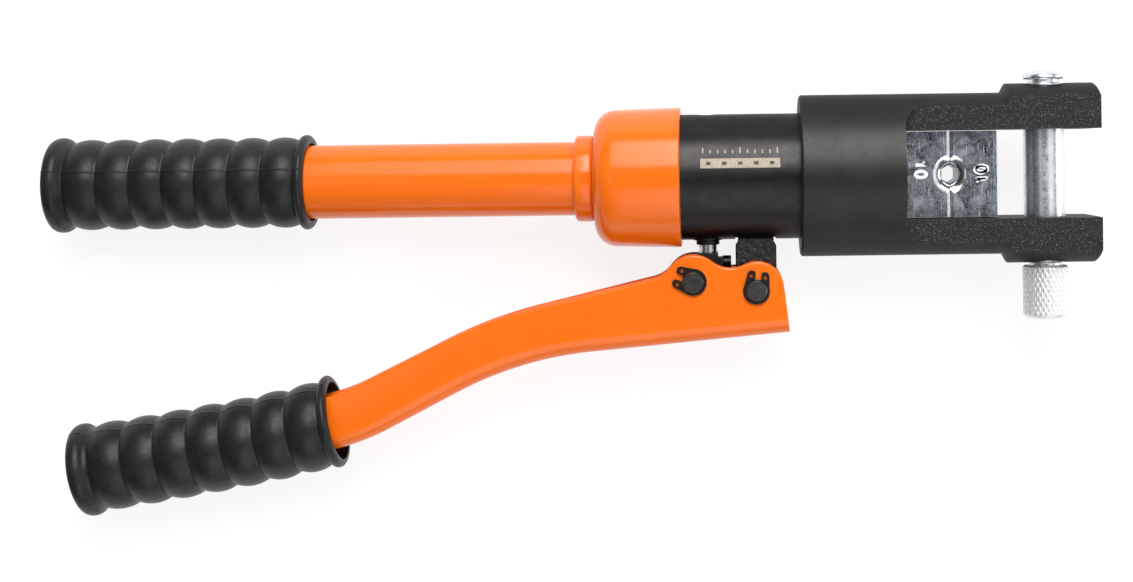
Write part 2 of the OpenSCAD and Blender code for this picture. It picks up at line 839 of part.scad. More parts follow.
// Grip along -X with the centre of its mouth bead at x = 0; slim is taken off its outer radii
module grip(length, slim) {
    first = -bead_round - 2.2;
    pitch = (length + 2 * first) / rib_count;
    rib_round = (pitch * pitch / 4 + rib_depth * rib_depth) / (2 * rib_depth);
    half = asin(pitch / 2 / rib_round);
    rib_c = grip_r - slim - rib_round;
    bead_c = bead_r - slim - bead_round;
    closed = -length - bead_round;
    color(RUBBER)
    turned_x(concat(
        [[mouth_r, bead_round]],
        arc([bead_c, 0], bead_round, 90, -75, 8),
        [
            for (k = [0:rib_count - 1])
                each arc([rib_c, first - (k + 0.5) * pitch], rib_round, half, -half, 8)
        ],
        arc([bead_c, -length], bead_round, 75, -60, 7),
        [[bead_c - 3, closed], [0, closed]],
        [[0, closed + grip_end], [grip_bore, closed + grip_end]],
        [[grip_bore, -6], [mouth_r, -4]]
    ));
}

module fixed_grip() {
    translate([grip_mouth, 0, 0]) grip(grip_len, 0);
}

module lever_grip() {
    translate([lever_grip_mouth[0], lever_grip_mouth[1], 0]) rotate([0, 0, slope_grip])
        grip(lever_grip_len, lever_grip_slim);
}

// ---- Pump plunger ----

module pump_plunger() {
    color(ZINC)
    turned_y([
        [0, stud_end],
        [plunger_r - 0.4, stud_end],
        [plunger_r, stud_end + 0.4],
        [plunger_r, -plunger_top - 0.4],
        [plunger_r - 0.4, -plunger_top],
        [0, -plunger_top]
    ], plunger_x);
}

module plunger_head() {
    left = plunger_x - plunger_r - 1;
    color(BLACK)
    difference() {
        union() {
            bar_z(-block_half, block_half, plunger_eye_r, plunger_pin_at);
            translate([left, plunger_pin_at[1], -block_half])
                cube([head_right - left, head_top - plunger_pin_at[1], 2 * block_half]);
            translate([head_right - cut, screw_y - 3, -4]) cube([2 + cut, 5, 8]);
        }
        bar_z(-block_half - cut, block_half + cut, eye_r, plunger_pin_at - [eye_play_left, 0]);
        bar_z(-block_half - cut, block_half + cut, eye_r, plunger_pin_at + [eye_play_right, 0]);
        translate([plunger_pin_at[0] - eye_play_left, plunger_pin_at[1] - eye_r, -block_half - cut])
            cube([eye_play_left + eye_play_right, 2 * eye_r, 2 * (block_half + cut)]);
        bar_y(stud_end - 0.1, head_top + cut, plunger_r + static_fit, plunger_x);
        bar_x(plunger_x, head_right + 2 + cut, 1.5 + static_fit, screw_y);
    }
}

module head_clamp_screw() {
    color(BLACK)
    difference() {
        union() {
            bar_x(plunger_x + plunger_r + static_fit, head_right + 2, 1.5, screw_y);
            bar_x(head_right + 2, head_right + 5.2, 2.5, screw_y);
        }
        bar_x(head_right + 3.6, head_right + 5.2 + cut, 1.3, screw_y, $fn = 6);
    }
}

// ---- Lever ----

// One face of the pressed sheet as [height over the underside, z]: up one wall, across the web
// and up the other, set in from the outer face, with the given corner radius
function sheet_face(inset, radius, tall) = concat(
    [[tall, lever_half - inset]],
    arc([inset + radius, lever_half - inset - radius], radius, 90, 180, 4),
    arc([inset + radius, inset + radius - lever_half], radius, 180, 270, 4),
    [[tall, inset - lever_half]]
);

// Section of the channel: its outer face and then its inner face the other way round
function channel_section(tall) =
    let (inner = sheet_face(sheet, inner_bend, tall), m = len(inner) - 1)
    concat(sheet_face(0, bend_r, tall), [for (i = [0:m]) inner[m - i]]);

// Stations along the lever's underside, from the grip to the nose, as [point, slope]
function belly_stations() = concat(
    [[lever_end - 1 * dir(slope_grip), slope_grip]],
    [
        for (i = [0:8]) let (a = slope_grip + (slope_middle - slope_grip) * i / 8)
            [curve2_centre - grip_curve_r * normal(a), a]
    ],
    [
        for (i = [0:10]) let (a = slope_middle + (slope_front - slope_middle) * i / 10)
            [curve1_centre + curve_r * normal(a), a]
    ],
    [[belly_nose + 10 * dir(slope_front), slope_front]]
);

// The channel's section carried along the lever's underside, taller than the lever
module channel_sweep() {
    section = channel_section(60);
    stations = belly_stations();
    n = len(section);
    last = len(stations) - 1;
    points = [
        for (s = stations) for (q = section)
            let (at = s[0] + q[0] * normal(s[1])) [at[0], at[1], q[1]]
    ];
    walls = [
        for (i = [0:last - 1]) for (j = [0:n - 1])
            let (k = (j + 1) % n) [i * n + j, (i + 1) * n + j, (i + 1) * n + k, i * n + k]
    ];
    start = [for (j = [0:n / 2 - 2]) [j, j + 1, n - 2 - j, n - 1 - j]];
    finish = [for (q = start) [for (j = [3:-1:0]) last * n + q[j]]];
    polyhedron(points, concat(walls, start, finish));
}

module lever_arm() {
    color(ORANGE)
    difference() {
        intersection() {
            channel_sweep();
            translate([0, 0, -lever_half - cut])
                linear_extrude(2 * (lever_half + cut)) polygon(lever_side());
        }
        bar_z(-lever_half - cut, lever_half + cut, lever_pin_r + static_fit, pivot);
        bar_z(-lever_half - cut, lever_half + cut, lever_pin_r + static_fit, plunger_pin_at);
    }
}

// Pin with a chamfer and a circlip groove at each end
module lever_pin(at) {
    groove_r = lever_pin_r - 0.2;
    chamfer = 0.6;
    color(BLACK)
    translate([at[0], at[1], 0]) rotate_extrude() polygon([
        [0, -pin_half],
        [lever_pin_r - chamfer, -pin_half],
        [lever_pin_r, -pin_half + chamfer],
        [lever_pin_r, -clip_z - clip_thick],
        [groove_r, -clip_z - clip_thick],
        [groove_r, -clip_z],
        [lever_pin_r, -clip_z],
        [lever_pin_r, clip_z],
        [groove_r, clip_z],
        [groove_r, clip_z + clip_thick],
        [lever_pin_r, clip_z + clip_thick],
        [lever_pin_r, pin_half - chamfer],
        [lever_pin_r - chamfer, pin_half],
        [0, pin_half]
    ]);
}

module pivot_pin() {
    lever_pin(pivot);
}

module plunger_pin() {
    lever_pin(plunger_pin_at);
}

// Open spring ring with two drilled, straight-sided ears; its gap points along the angle a
module circlip(at, a) {
    ring_r = lever_pin_r + 1;
    ear_x = lever_pin_r + 1.2;
    ear_y = 2.85;
    gap = 1.2;
    translate([at[0], at[1], clip_z]) rotate([0, 0, a]) linear_extrude(clip_thick - 0.02) difference() {
        union() {
            translate([-0.2, 0]) circle(r = ring_r);
            for (s = [-1, 1]) polygon([
                [0, 0],
                [ear_x + 1.4, gap * s],
                [ear_x + 2, (gap + 0.7) * s],
                [ear_x + 2, (ear_y + 0.5) * s],
                [ear_x + 1, (ear_y + 1.4) * s],
                [0.6, (ring_r - 0.15) * s]
            ]);
        }
        circle(r = lever_pin_r - 0.2 + 0.02);
        for (s = [-1, 1]) translate([ear_x, ear_y * s]) circle(r = 0.75);
        translate([0, -gap]) square([lever_pin_r + 5, 2 * gap]);
    }
}

module circlips() {
    color(BLACK)
    for (side = [0, 1]) mirror([0, 0, side]) {
        circlip(plunger_pin_at, 160);
        circlip(pivot, 82);
    }
}

head_yoke();
ram_scraper();
cylinder_body();
reservoir_cup();
handle_collar();
handle_tube();
oil_bladder();
bladder_clamp();
tube_end_plug();
fixed_grip();
pivot_block();
plunger_gland();
plunger_seal();
inlet_seat();
inlet_ball();
inlet_spring();
outlet_ball();
outlet_spring();
outlet_retainer();
relief_cone();
relief_spring();
relief_screw();
release_pin();
release_ball();
release_spring();
release_plug();
ram();
piston_seal();
ram_return_spring();
lower_die();
die_ring();
upper_die();
lock_pin();
lock_pin_knob();
pump_plunger();
plunger_head();
head_clamp_screw();
lever_arm();
lever_grip();
pivot_pin();
plunger_pin();
circlips();
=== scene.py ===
"""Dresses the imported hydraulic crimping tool: camera, studio, materials and detailed pieces.

The row frame: X runs along the ram towards the lock pin, Y from the lever to the fixed
handle, Z up, which is also where the camera stands. Shapes here are in millimetres.
"""
import math

import bmesh
import bpy
from mathutils import Matrix, Vector, noise


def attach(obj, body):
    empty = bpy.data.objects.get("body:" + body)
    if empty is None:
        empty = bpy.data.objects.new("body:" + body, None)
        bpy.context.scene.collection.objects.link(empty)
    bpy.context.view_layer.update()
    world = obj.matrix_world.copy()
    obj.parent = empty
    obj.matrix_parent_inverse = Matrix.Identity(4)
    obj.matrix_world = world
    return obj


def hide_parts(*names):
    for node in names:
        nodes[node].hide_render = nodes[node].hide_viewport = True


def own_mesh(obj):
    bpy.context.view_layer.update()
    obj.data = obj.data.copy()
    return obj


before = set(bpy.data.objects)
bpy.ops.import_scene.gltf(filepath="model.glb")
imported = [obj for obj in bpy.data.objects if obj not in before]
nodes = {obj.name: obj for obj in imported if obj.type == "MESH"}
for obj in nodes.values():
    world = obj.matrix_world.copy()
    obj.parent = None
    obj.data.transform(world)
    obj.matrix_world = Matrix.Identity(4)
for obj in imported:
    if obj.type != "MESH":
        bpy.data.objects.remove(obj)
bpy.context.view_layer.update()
MM = 0.001


# ---- Camera and studio ----

# Place and clipping in metres, lens and sensor in millimetres
CAMERA_AT = Vector((-0.0847, 0.0106, 0.700))
CAMERA_ROLL = math.radians(-0.756)
LENS, SENSOR = 55.6, 36.0
SHIFT = (-0.1487, -0.1244)
CLIPPING = (0.01, 20.0)

# The floor touches the head's rear edge and the end of the fixed grip
FLOOR_HEAD = (-0.0591, -0.0322)
FLOOR_GRIP = (-0.3543, -0.0191)
FLOOR_SIZE = 6.0

# Grey levels of the floor: what lights the object, and what is seen directly, which is a
# shaded grey plus a glow
FLOOR_CARD, FLOOR_ROUGH = 0.82, 0.9
FLOOR_SHADED, FLOOR_GLOW = 0.24, 0.83

# The walls' white fades out between these heights (sine of the elevation)
WALL_TOP = (0.05, 0.22)
CEILING = 0.12

# Panel lamps: name, place, point aimed at, size and radiance. The key and its dimmer wing stand
# high on the +Y side, over the head and over the handle, and the fill high on the -Y side. The
# others lift what faces +X (side, front and corner), the flanks that face -Y (low) and the
# grips' ribs (top).
LAMPS = (
    ("key", (0.06, 1.07, 1.19), (0.06, 0, 0), (0.62, 1.29), 8.6),
    ("key_wing", (-0.44, 1.07, 1.19), (-0.44, 0, 0), (0.38, 1.29), 2.2),
    ("fill", (0.25, -1.03, 1.22), (0.19, 0, 0), (1.15, 1.45), 1.6),
    ("side", (1.5, 0.0, 0.32), (0, 0, 0), (0.9, 0.7), 2.5),
    ("low", (0.0, -1.58, 0.40), (0, 0, 0), (1.8, 0.7), 0.3),
    ("front", (0.85, 0.0, 1.35), (0, 0, 0), (1.2, 0.9), 0.9),
    ("corner", (0.80, 0.92, 1.20), (0, 0, 0), (0.7, 0.7), 1.8),
    ("top", (-0.72, 0.0, 1.43), (0, 0, 0), (0.5, 0.4), 0.6),
)


def grey(level):
    """A grey as a shader's colour."""
    return (level, level, level, 1.0)


def make_camera():
    data = bpy.data.cameras.new("camera")
    data.lens = LENS
    data.sensor_width = SENSOR
    data.shift_x, data.shift_y = SHIFT
    data.clip_start, data.clip_end = CLIPPING
    cam = bpy.data.objects.new("camera", data)
    cam.location = CAMERA_AT
    cam.rotation_euler = (0.0, 0.0, CAMERA_ROLL)
    bpy.context.scene.collection.objects.link(cam)
    bpy.context.scene.camera = cam


def add_lamps():
    for name, at, aim, size, radiance in LAMPS:
        data = bpy.data.lights.new(name, "AREA")
        data.shape = "RECTANGLE"
        data.size, data.size_y = size
        data.energy = radiance * math.pi * size[0] * size[1]
        lamp = bpy.data.objects.new(name, data)
        lamp.location = Vector(at)
        lamp.rotation_euler = (Vector(aim) - Vector(at)).to_track_quat("-Z", "Y").to_euler()
        bpy.context.scene.collection.objects.link(lamp)


def seen_directly(tree):
    """1 for rays from the camera, off glossy surfaces and through glass, 0 for diffuse."""
    path = tree.nodes.new("ShaderNodeLightPath")
    first = tree.nodes.new("ShaderNodeMath")
    first.operation = "MAXIMUM"
    second = tree.nodes.new("ShaderNodeMath")
    second.operation = "MAXIMUM"
    tree.links.new(path.outputs["Is Camera Ray"], first.inputs[0])
    tree.links.new(path.outputs["Is Transmission Ray"], first.inputs[1])
    tree.links.new(first.outputs[0], second.inputs[0])
    tree.links.new(path.outputs["Is Glossy Ray"], second.inputs[1])
    return second.outputs[0]


def make_world():
    """White all round near the horizon, dim overhead, as in a room with pale walls."""
    scene = bpy.context.scene
    scene.view_settings.view_transform = "Standard"
    world = bpy.data.worlds.new("studio")
    scene.world = world
    world.use_nodes = True
    tree = world.node_tree
    coords = tree.nodes.new("ShaderNodeTexCoord")
    parts = tree.nodes.new("ShaderNodeSeparateXYZ")
    tree.links.new(coords.outputs["Generated"], parts.inputs[0])
    fade = tree.nodes.new("ShaderNodeMapRange")
    fade.interpolation_type = "SMOOTHSTEP"
    for key, number in (("From Min", WALL_TOP[0]), ("From Max", WALL_TOP[1]),
                        ("To Min", 1.0), ("To Max", CEILING)):
        fade.inputs[key].default_value = number
    tree.links.new(parts.outputs["Z"], fade.inputs["Value"])
    back = tree.nodes["Background"]
    back.inputs["Color"].default_value = grey(1.0)
    tree.links.new(fade.outputs[0], back.inputs["Strength"])


def make_floor():
    """Pale floor: seen directly it is nearly white and keeps the object's shadow."""
    (x0, z0), (x1, z1) = FLOOR_HEAD, FLOOR_GRIP
    slope = (z1 - z0) / (x1 - x0)
    half = FLOOR_SIZE / 2
    corners = [(x, y, z0 + slope * (x - x0)) for x, y in (
        (-half, -half), (half, -half), (half, half), (-half, half))]
    mesh = bpy.data.meshes.new("floor")
    mesh.from_pydata(corners, [], [(0, 1, 2, 3)])
    floor = bpy.data.objects.new("floor", mesh)
    bpy.context.scene.collection.objects.link(floor)
    mat = bpy.data.materials.new("floor_card")
    mat.use_nodes = True
    tree = mat.node_tree
    card = tree.nodes["Principled BSDF"]
    card.inputs["Base Color"].default_value = grey(FLOOR_CARD)
    card.inputs["Roughness"].default_value = FLOOR_ROUGH
    shade = tree.nodes.new("ShaderNodeBsdfDiffuse")
    shade.inputs["Color"].default_value = grey(FLOOR_SHADED)
    glow = tree.nodes.new("ShaderNodeEmission")
    glow.inputs["Strength"].default_value = FLOOR_GLOW
    both = tree.nodes.new("ShaderNodeAddShader")
    mix = tree.nodes.new("ShaderNodeMixShader")
    direct = seen_directly(tree)
    tree.links.new(shade.outputs[0], both.inputs[0])
    tree.links.new(glow.outputs[0], both.inputs[1])
    tree.links.new(direct, mix.inputs["Fac"])
    tree.links.new(card.outputs[0], mix.inputs[1])
    tree.links.new(both.outputs[0], mix.inputs[2])
    tree.links.new(mix.outputs[0], tree.nodes["Material Output"].inputs["Surface"])
    mesh.materials.append(mat)


# ---- Materials ----

# Reflectance of the black coats seen at a slant, against that of bare metal
DULL_EDGE = grey(0.6)

# Most of a noise texture's values lie between these two
NOISE_LOW, NOISE_HIGH = 0.3, 0.7

# Wear begins and is full where an edge turns the surface so far (one minus the cosine)
WEAR_BEGINS, WEAR_FULL = 0.02, 0.25

# The Mix node repeats its sockets for each kind of data; these are the ones for colours
MIX_FIRST, MIX_SECOND, MIX_RESULT = 6, 7, 2


class Look:
    """One procedural material. Textures lie in the row frame, scaled to millimetres."""

    def __init__(self, name, **sockets):
        self.mat = bpy.data.materials.new(name)
        self.mat.use_nodes = True
        self.tree = self.mat.node_tree
        self.skin = self.tree.nodes["Principled BSDF"]
        for key, value in sockets.items():
            self.skin.inputs[key.replace("_", " ")].default_value = value
        self.coords = self.tree.nodes.new("ShaderNodeTexCoord")
        self.bumped = None

    def add(self, kind, **settings):
        made = self.tree.nodes.new("ShaderNode" + kind)
        for key, value in settings.items():
            setattr(made, key, value)
        return made

    def link(self, out, to):
        self.tree.links.new(out, to)

    def points(self, scale=(1, 1, 1), turn=(0, 0, 0)):
        """Object coordinates in millimetres, turned in degrees and then stretched."""
        place = self.add("Mapping")
        place.inputs["Scale"].default_value = [s / MM for s in scale]
        place.inputs["Rotation"].default_value = [math.radians(a) for a in turn]
        self.link(self.coords.outputs["Object"], place.inputs["Vector"])
        return place.outputs[0]

    def noise(self, per_mm, detail=3.0, rough=0.55, warp=0.0, **place):
        tex = self.add("TexNoise")
        tex.inputs["Scale"].default_value = per_mm
        tex.inputs["Detail"].default_value = detail
        tex.inputs["Roughness"].default_value = rough
        tex.inputs["Distortion"].default_value = warp
        self.link(self.points(**place), tex.inputs["Vector"])
        return tex.outputs["Fac"]

    def span(self, value, low, high, out_low, out_high):
        """value from low to high becomes out_low to out_high, held at both ends."""
        part = self.add("MapRange")
        for key, number in (("From Min", low), ("From Max", high),
                            ("To Min", out_low), ("To Max", out_high)):
            part.inputs[key].default_value = number
        self.link(value, part.inputs["Value"])
        return part.outputs[0]

    def math(self, operation, first, second):
        part = self.add("Math", operation=operation)
        for socket, value in zip(part.inputs, (first, second)):
            if isinstance(value, (int, float)):
                socket.default_value = value
            else:
                self.link(value, socket)
        return part.outputs[0]

    def ramp(self, value, *stops):
        part = self.add("ValToRGB")
        points = part.color_ramp.elements
        while len(points) < len(stops):
            points.new(0.5)
        for point, (at, colour) in zip(points, stops):
            point.position = at
            point.color = (*colour, 1.0)
        self.link(value, part.inputs[0])
        return part.outputs[0]

    def tones(self, value, dark, light):
        """A noise texture as a mild change from dark to light."""
        return self.ramp(value, (NOISE_LOW, dark), (NOISE_HIGH, light))

    def blend(self, factor, first, second):
        part = self.add("Mix", data_type="RGBA")
        self.link(factor, part.inputs["Factor"])
        for socket, value in ((part.inputs[MIX_FIRST], first), (part.inputs[MIX_SECOND], second)):
            if isinstance(value, tuple):
                socket.default_value = (*value, 1.0)
            else:
                self.link(value, socket)
        return part.outputs[MIX_RESULT]

    def edges(self, radius):
        """1 at outer and inner edges, 0 on open faces."""
        soft = self.add("Bevel", samples=6)
        soft.inputs["Radius"].default_value = radius * MM
        true = self.add("NewGeometry")
        dot = self.add("VectorMath", operation="DOT_PRODUCT")
        self.link(soft.outputs[0], dot.inputs[0])
        self.link(true.outputs["Normal"], dot.inputs[1])
        return self.span(dot.outputs["Value"], 1 - WEAR_BEGINS, 1 - WEAR_FULL, 0.0, 1.0)

    def facing(self, axis):
        """How squarely the surface faces an axis of the row frame, 0 to 1."""
        parts = self.add("SeparateXYZ")
        self.link(self.coords.outputs["Normal"], parts.inputs[0])
        return self.math("ABSOLUTE", parts.outputs[axis], 0)

    def height(self, axis):
        """Distance from the ram axis along Y or Z, in millimetres."""
        parts = self.add("SeparateXYZ")
        self.link(self.points(), parts.inputs[0])
        return self.math("ABSOLUTE", parts.outputs[axis], 0)

    def colour(self, out):
        self.link(out, self.skin.inputs["Base Color"])

    def rough(self, out):
        self.link(out, self.skin.inputs["Roughness"])

    def rough_tones(self, value, smooth, dull):
        """Roughness that follows a noise texture from smooth to dull."""
        self.rough(self.span(value, NOISE_LOW, NOISE_HIGH, smooth, dull))

    def bump(self, height, depth):
        """Adds relief: a height of 1 stands depth millimetres over a height of 0."""
        part = self.add("Bump")
        part.inputs["Strength"].default_value = 1.0
        part.inputs["Distance"].default_value = depth * MM
        self.link(height, part.inputs["Height"])
        if self.bumped:
            self.link(self.bumped, part.inputs["Normal"])
        self.bumped = part.outputs[0]
        self.link(self.bumped, self.skin.inputs["Normal"])


def orange_paint():
    """Glossy paint, slightly uneven, with light dust and paler worn edges."""
    look = Look("orange_paint", Specular_IOR_Level=0.42)
    cloud = look.noise(0.06, 3.0)
    base = look.tones(cloud, (0.96, 0.168, 0.006), (0.99, 0.178, 0.008))
    dust = look.span(look.noise(1.4, 2.0, 0.5), 0.74, 0.80, 0.0, 0.3)
    worn = look.math("MULTIPLY", look.edges(0.7), look.span(look.noise(0.7), 0.5, 0.7, 0.0, 0.5))
    base = look.blend(dust, base, (1.0, 0.36, 0.13))
    look.colour(look.blend(worn, base, (1.0, 0.42, 0.20)))
    look.rough_tones(look.noise(0.2, 4.0), 0.15, 0.21)
    look.bump(look.noise(0.55, 2.0), 0.02)
    look.bump(look.noise(0.09, 2.0), 0.06)
    return look.mat


def black_oxide(name, tone, turned=False, lumps=0.0):
    """tone is the middle reflectance; turned adds the lathe's fine rings along X, lumps
    the uneven skin of a weld, in millimetres."""
    look = Look(name, Metallic=1.0, Specular_Tint=DULL_EDGE)
    cloud = look.noise(0.12, 5.0)
    base = look.tones(cloud, (0.89 * tone, 0.87 * tone, 0.85 * tone),
                      (1.12 * tone, 1.09 * tone, 1.06 * tone))
    worn = look.math("MULTIPLY", look.edges(0.6),
                     look.span(look.noise(0.9), 0.42, 0.65, 0.0, 0.75))
    look.colour(look.blend(worn, base, (0.16, 0.155, 0.15)))
    if turned:
        lines = look.noise(1.0, 4.0, 0.7, scale=(6.0, 0.05, 0.05))
        look.rough(look.span(look.math("ADD", lines, look.noise(0.3)), 0.7, 1.3, 0.30, 0.44))
        look.bump(lines, 0.006)
    else:
        look.rough_tones(look.noise(0.5, 4.0), 0.30, 0.46)
        look.bump(look.noise(1.8, 3.0), 0.02)
    if lumps:
        look.bump(look.noise(0.45, 3.0, 0.6), lumps)
    return look.mat


def black_coat():
    """Satin coat over a forging: fine grain on the turned barrel, coarse on the flats, with
    painted glints on the flats.
    """
    look = Look("black_coat", Metallic=1.0, Specular_Tint=DULL_EDGE)
    grain = look.noise(2.6, 3.0, 0.6)
    flats = look.math("MULTIPLY", look.span(look.facing(2), 0.8, 0.95, 0.0, 1.0),
                      look.span(look.height(2), 18.6, 18.3, 0.0, 1.0))
    base = look.tones(look.noise(0.1, 5.0), (0.037, 0.037, 0.0375), (0.045, 0.045, 0.045))
    # Painted glints: pale specks on the flats stand in for light caught by the coarse grain
    painted_glints = look.span(look.noise(1.9, 2.0, 0.75), 0.59, 0.69, 0.0, 0.9)
    rough_skin_with_glints = look.blend(painted_glints, (0.039, 0.039, 0.039), (0.28, 0.28, 0.28))
    base = look.blend(flats, base, rough_skin_with_glints)
    worn = look.math("MULTIPLY", look.edges(0.9),
                     look.span(look.noise(0.8), 0.4, 0.65, 0.05, 0.7))
    look.colour(look.blend(worn, base, (0.13, 0.13, 0.13)))
    look.rough(look.span(look.math("ADD", look.noise(0.4, 4.0), flats), 0.3, 1.6, 0.42, 0.62))
    look.bump(grain, 0.025)
    look.bump(look.math("MULTIPLY", look.noise(1.5, 4.0, 0.65), flats), 0.22)
    return look.mat


def grip_rubber():
    """Soft black rubber with a satin skin and a little dust."""
    look = Look("grip_rubber", Specular_IOR_Level=0.3)
    cloud = look.noise(0.15, 5.0)
    base = look.tones(cloud, (0.009, 0.0095, 0.010), (0.016, 0.0165, 0.017))
    dust = look.span(look.noise(1.7, 3.0, 0.6), 0.62, 0.78, 0.0, 0.45)
    look.colour(look.blend(dust, base, (0.11, 0.11, 0.11)))
    look.rough_tones(look.noise(0.5, 4.0), 0.33, 0.44)
    look.bump(look.noise(3.0, 3.0), 0.02)
    look.bump(look.noise(0.35, 3.0), 0.06)
    return look.mat


def zinc_plate():
    """Zinc over milled steel: dark mirror-like patches between frosted ones, bright nicks."""
    look = Look("zinc_plate", Metallic=1.0)
    cloud = look.noise(0.15, 6.0, 0.72, 0.6)
    base = look.ramp(cloud, (0.38, (0.055, 0.07, 0.09)), (0.62, (0.30, 0.33, 0.37)))
    nicks = look.span(look.noise(2.9, 2.0, 0.7), 0.60, 0.66, 0.0, 1.0)
    marks = look.span(look.noise(1.3, 3.0, 0.6, scale=(2.4, 0.16, 2.4), turn=(0, 0, 24)),
                      0.60, 0.68, 0.0, 1.0)
    bright = look.math("MAXIMUM", nicks, marks)
    base = look.blend(bright, base, (0.78, 0.81, 0.86))
    look.colour(look.blend(look.edges(0.5), base, (0.90, 0.92, 0.94)))
    frosted = look.span(cloud, 0.36, 0.64, 0.26, 0.40)
    look.rough(look.math("MAXIMUM", frosted, look.math("MULTIPLY", bright, 0.46)))
    look.bump(look.noise(0.8, 5.0, 0.6), 0.03)
    look.bump(bright, 0.02)
    return look.mat


def polished_zinc():
    """Smooth zinc on turned parts."""
    look = Look("polished_zinc", Metallic=1.0)
    base = look.tones(look.noise(0.3, 4.0), (0.74, 0.77, 0.80), (0.88, 0.90, 0.92))
    haze = look.span(look.noise(1.6, 4.0, 0.65), 0.55, 0.72, 0.0, 0.6)
    look.colour(look.blend(haze, base, (0.56, 0.59, 0.63)))
    look.rough_tones(look.noise(0.8, 5.0), 0.22, 0.40)
    look.bump(look.noise(1.0, 4.0, 0.7, scale=(0.05, 6.0, 0.05)), 0.003)
    return look.mat


def reamed_zinc_and_painted_highlight():
    """Smooth bright flanks of the dies' bell mouth; on the lower die's parting edge the same
    bright zinc is a painted highlight.
    """
    look = Look("reamed_zinc_and_painted_highlight", Metallic=1.0)
    look.colour(look.tones(look.noise(0.6, 4.0), (0.66, 0.68, 0.71), (0.84, 0.86, 0.88)))
    look.rough_tones(look.noise(1.1, 4.0), 0.10, 0.22)
    look.bump(look.noise(1.4, 4.0), 0.02)
    return look.mat


def knurled_zinc():
    """Frosty pale zinc on the knurl, nearly white: its colour and diffuse part are a painted
    reflection of the white surroundings.
    """
    look = Look("knurled_zinc", Metallic=0.75)
    # Painted reflection: the near-white colour, partly diffuse, stands in for the white
    # surroundings mirrored in the knurl
    look.colour(look.tones(look.noise(0.5, 4.0), (0.84, 0.85, 0.86), (0.93, 0.94, 0.94)))
    look.rough_tones(look.noise(1.2, 4.0), 0.42, 0.56)
    look.bump(look.noise(2.4, 3.0), 0.01)
    return look.mat


def etched_mark():
    """Tan place where the marking laser took the black off."""
    look = Look("etched_mark", Specular_IOR_Level=0.3, Metallic=0.3)
    look.colour(look.ramp(look.noise(1.6, 4.0, 0.65), (0.35, (0.36, 0.30, 0.24)),
                          (0.65, (0.54, 0.47, 0.39))))
    look.rough_tones(look.noise(1.1, 3.0), 0.5, 0.7)
    look.bump(look.noise(3.0, 3.0), 0.006)
    return look.mat


def stamped_mark():
    """Burr of a punched figure, frosted and painted white: a painted highlight of the light the
    burr catches on the zinc.
    """
    look = Look("stamped_mark")
    # Painted highlight: the white stands in for light caught by the punched burr
    look.colour(look.ramp(look.noise(2.2, 4.0), (0.35, (0.80, 0.82, 0.84)),
                          (0.6, (0.96, 0.97, 0.98))))
    look.rough_tones(look.noise(1.4, 3.0), 0.35, 0.6)
    look.bump(look.noise(1.8, 3.0), 0.05)
    return look.mat


def bright_steel():
    """Ground steel of the ram, the plunger, the springs and the valves."""
    look = Look("bright_steel", Metallic=1.0)
    base = look.tones(look.noise(0.4, 4.0), (0.50, 0.51, 0.53), (0.66, 0.67, 0.69))
    look.colour(look.blend(look.edges(0.4), base, (0.80, 0.81, 0.83)))
    look.rough_tones(look.noise(0.9, 4.0), 0.16, 0.34)
    look.bump(look.noise(1.4, 3.0), 0.006)
    return look.mat


def seal_rubber():
    look = Look("seal_rubber", Specular_IOR_Level=0.4)
    look.colour(look.tones(look.noise(0.5, 4.0), (0.016, 0.016, 0.017), (0.030, 0.029, 0.028)))
    look.rough_tones(look.noise(0.8, 3.0), 0.45, 0.65)
    look.bump(look.noise(2.5, 2.0), 0.015)
    return look.mat


def plug_plastic():
    look = Look("plug_plastic", Specular_IOR_Level=0.45)
    look.colour(look.tones(look.noise(0.3, 3.0), (0.030, 0.030, 0.032), (0.044, 0.044, 0.046)))
    look.rough_tones(look.noise(1.2, 3.0), 0.40, 0.55)
    look.bump(look.noise(2.0, 2.0), 0.02)
    return look.mat


LOOKS = {
    "orange_paint": orange_paint(),
    "black_oxide": black_oxide("black_oxide", 0.035),
    "turned_oxide": black_oxide("turned_oxide", 0.035, turned=True),
    "pin_oxide": black_oxide("pin_oxide", 0.085),
    "welded_oxide": black_oxide("welded_oxide", 0.04, lumps=0.8),
    "black_coat": black_coat(),
    "grip_rubber": grip_rubber(),
    "zinc_plate": zinc_plate(),
    "polished_zinc": polished_zinc(),
    "reamed_zinc_and_painted_highlight": reamed_zinc_and_painted_highlight(),
    "knurled_zinc": knurled_zinc(),
    "etched_mark": etched_mark(),
    "stamped_mark": stamped_mark(),
    "bright_steel": bright_steel(),
    "seal_rubber": seal_rubber(),
    "plug_plastic": plug_plastic(),
}


def dress_cad_nodes():
    """Gives each carried-over node the look of its slot."""
    for node in nodes.values():
        for held in node.material_slots:
            held.material = LOOKS[held.material.name.split(".")[0]]


# ---- Pieces ----

# Edges that turn by more degrees than this are sharp, and get rounded in so many steps
SHARP_ANGLE = 35
EDGE_STEPS = 3

# The same angle for the ribbed grips and the knurled knob
RIBBED_SHARP = 50

# A CAD mesh's points closer than this are joined (metres), and its triangles that lie flatter
# than this to each other become one face (degrees)
JOIN_WITHIN = 1e-7
FLAT_WITHIN = 0.05

# Numbers below this count as nothing
TINY = 1e-6


def closed_mesh(name, verts, faces):
    """A mesh from points in millimetres, with its faces turned outwards."""
    mesh = bpy.data.meshes.new(name)
    mesh.from_pydata([[c * MM for c in v] for v in verts], [], faces)
    mesh.validate()
    bm = bmesh.new()
    bm.from_mesh(mesh)
    bmesh.ops.recalc_face_normals(bm, faces=bm.faces)
    bm.to_mesh(mesh)
    bm.free()
    return mesh


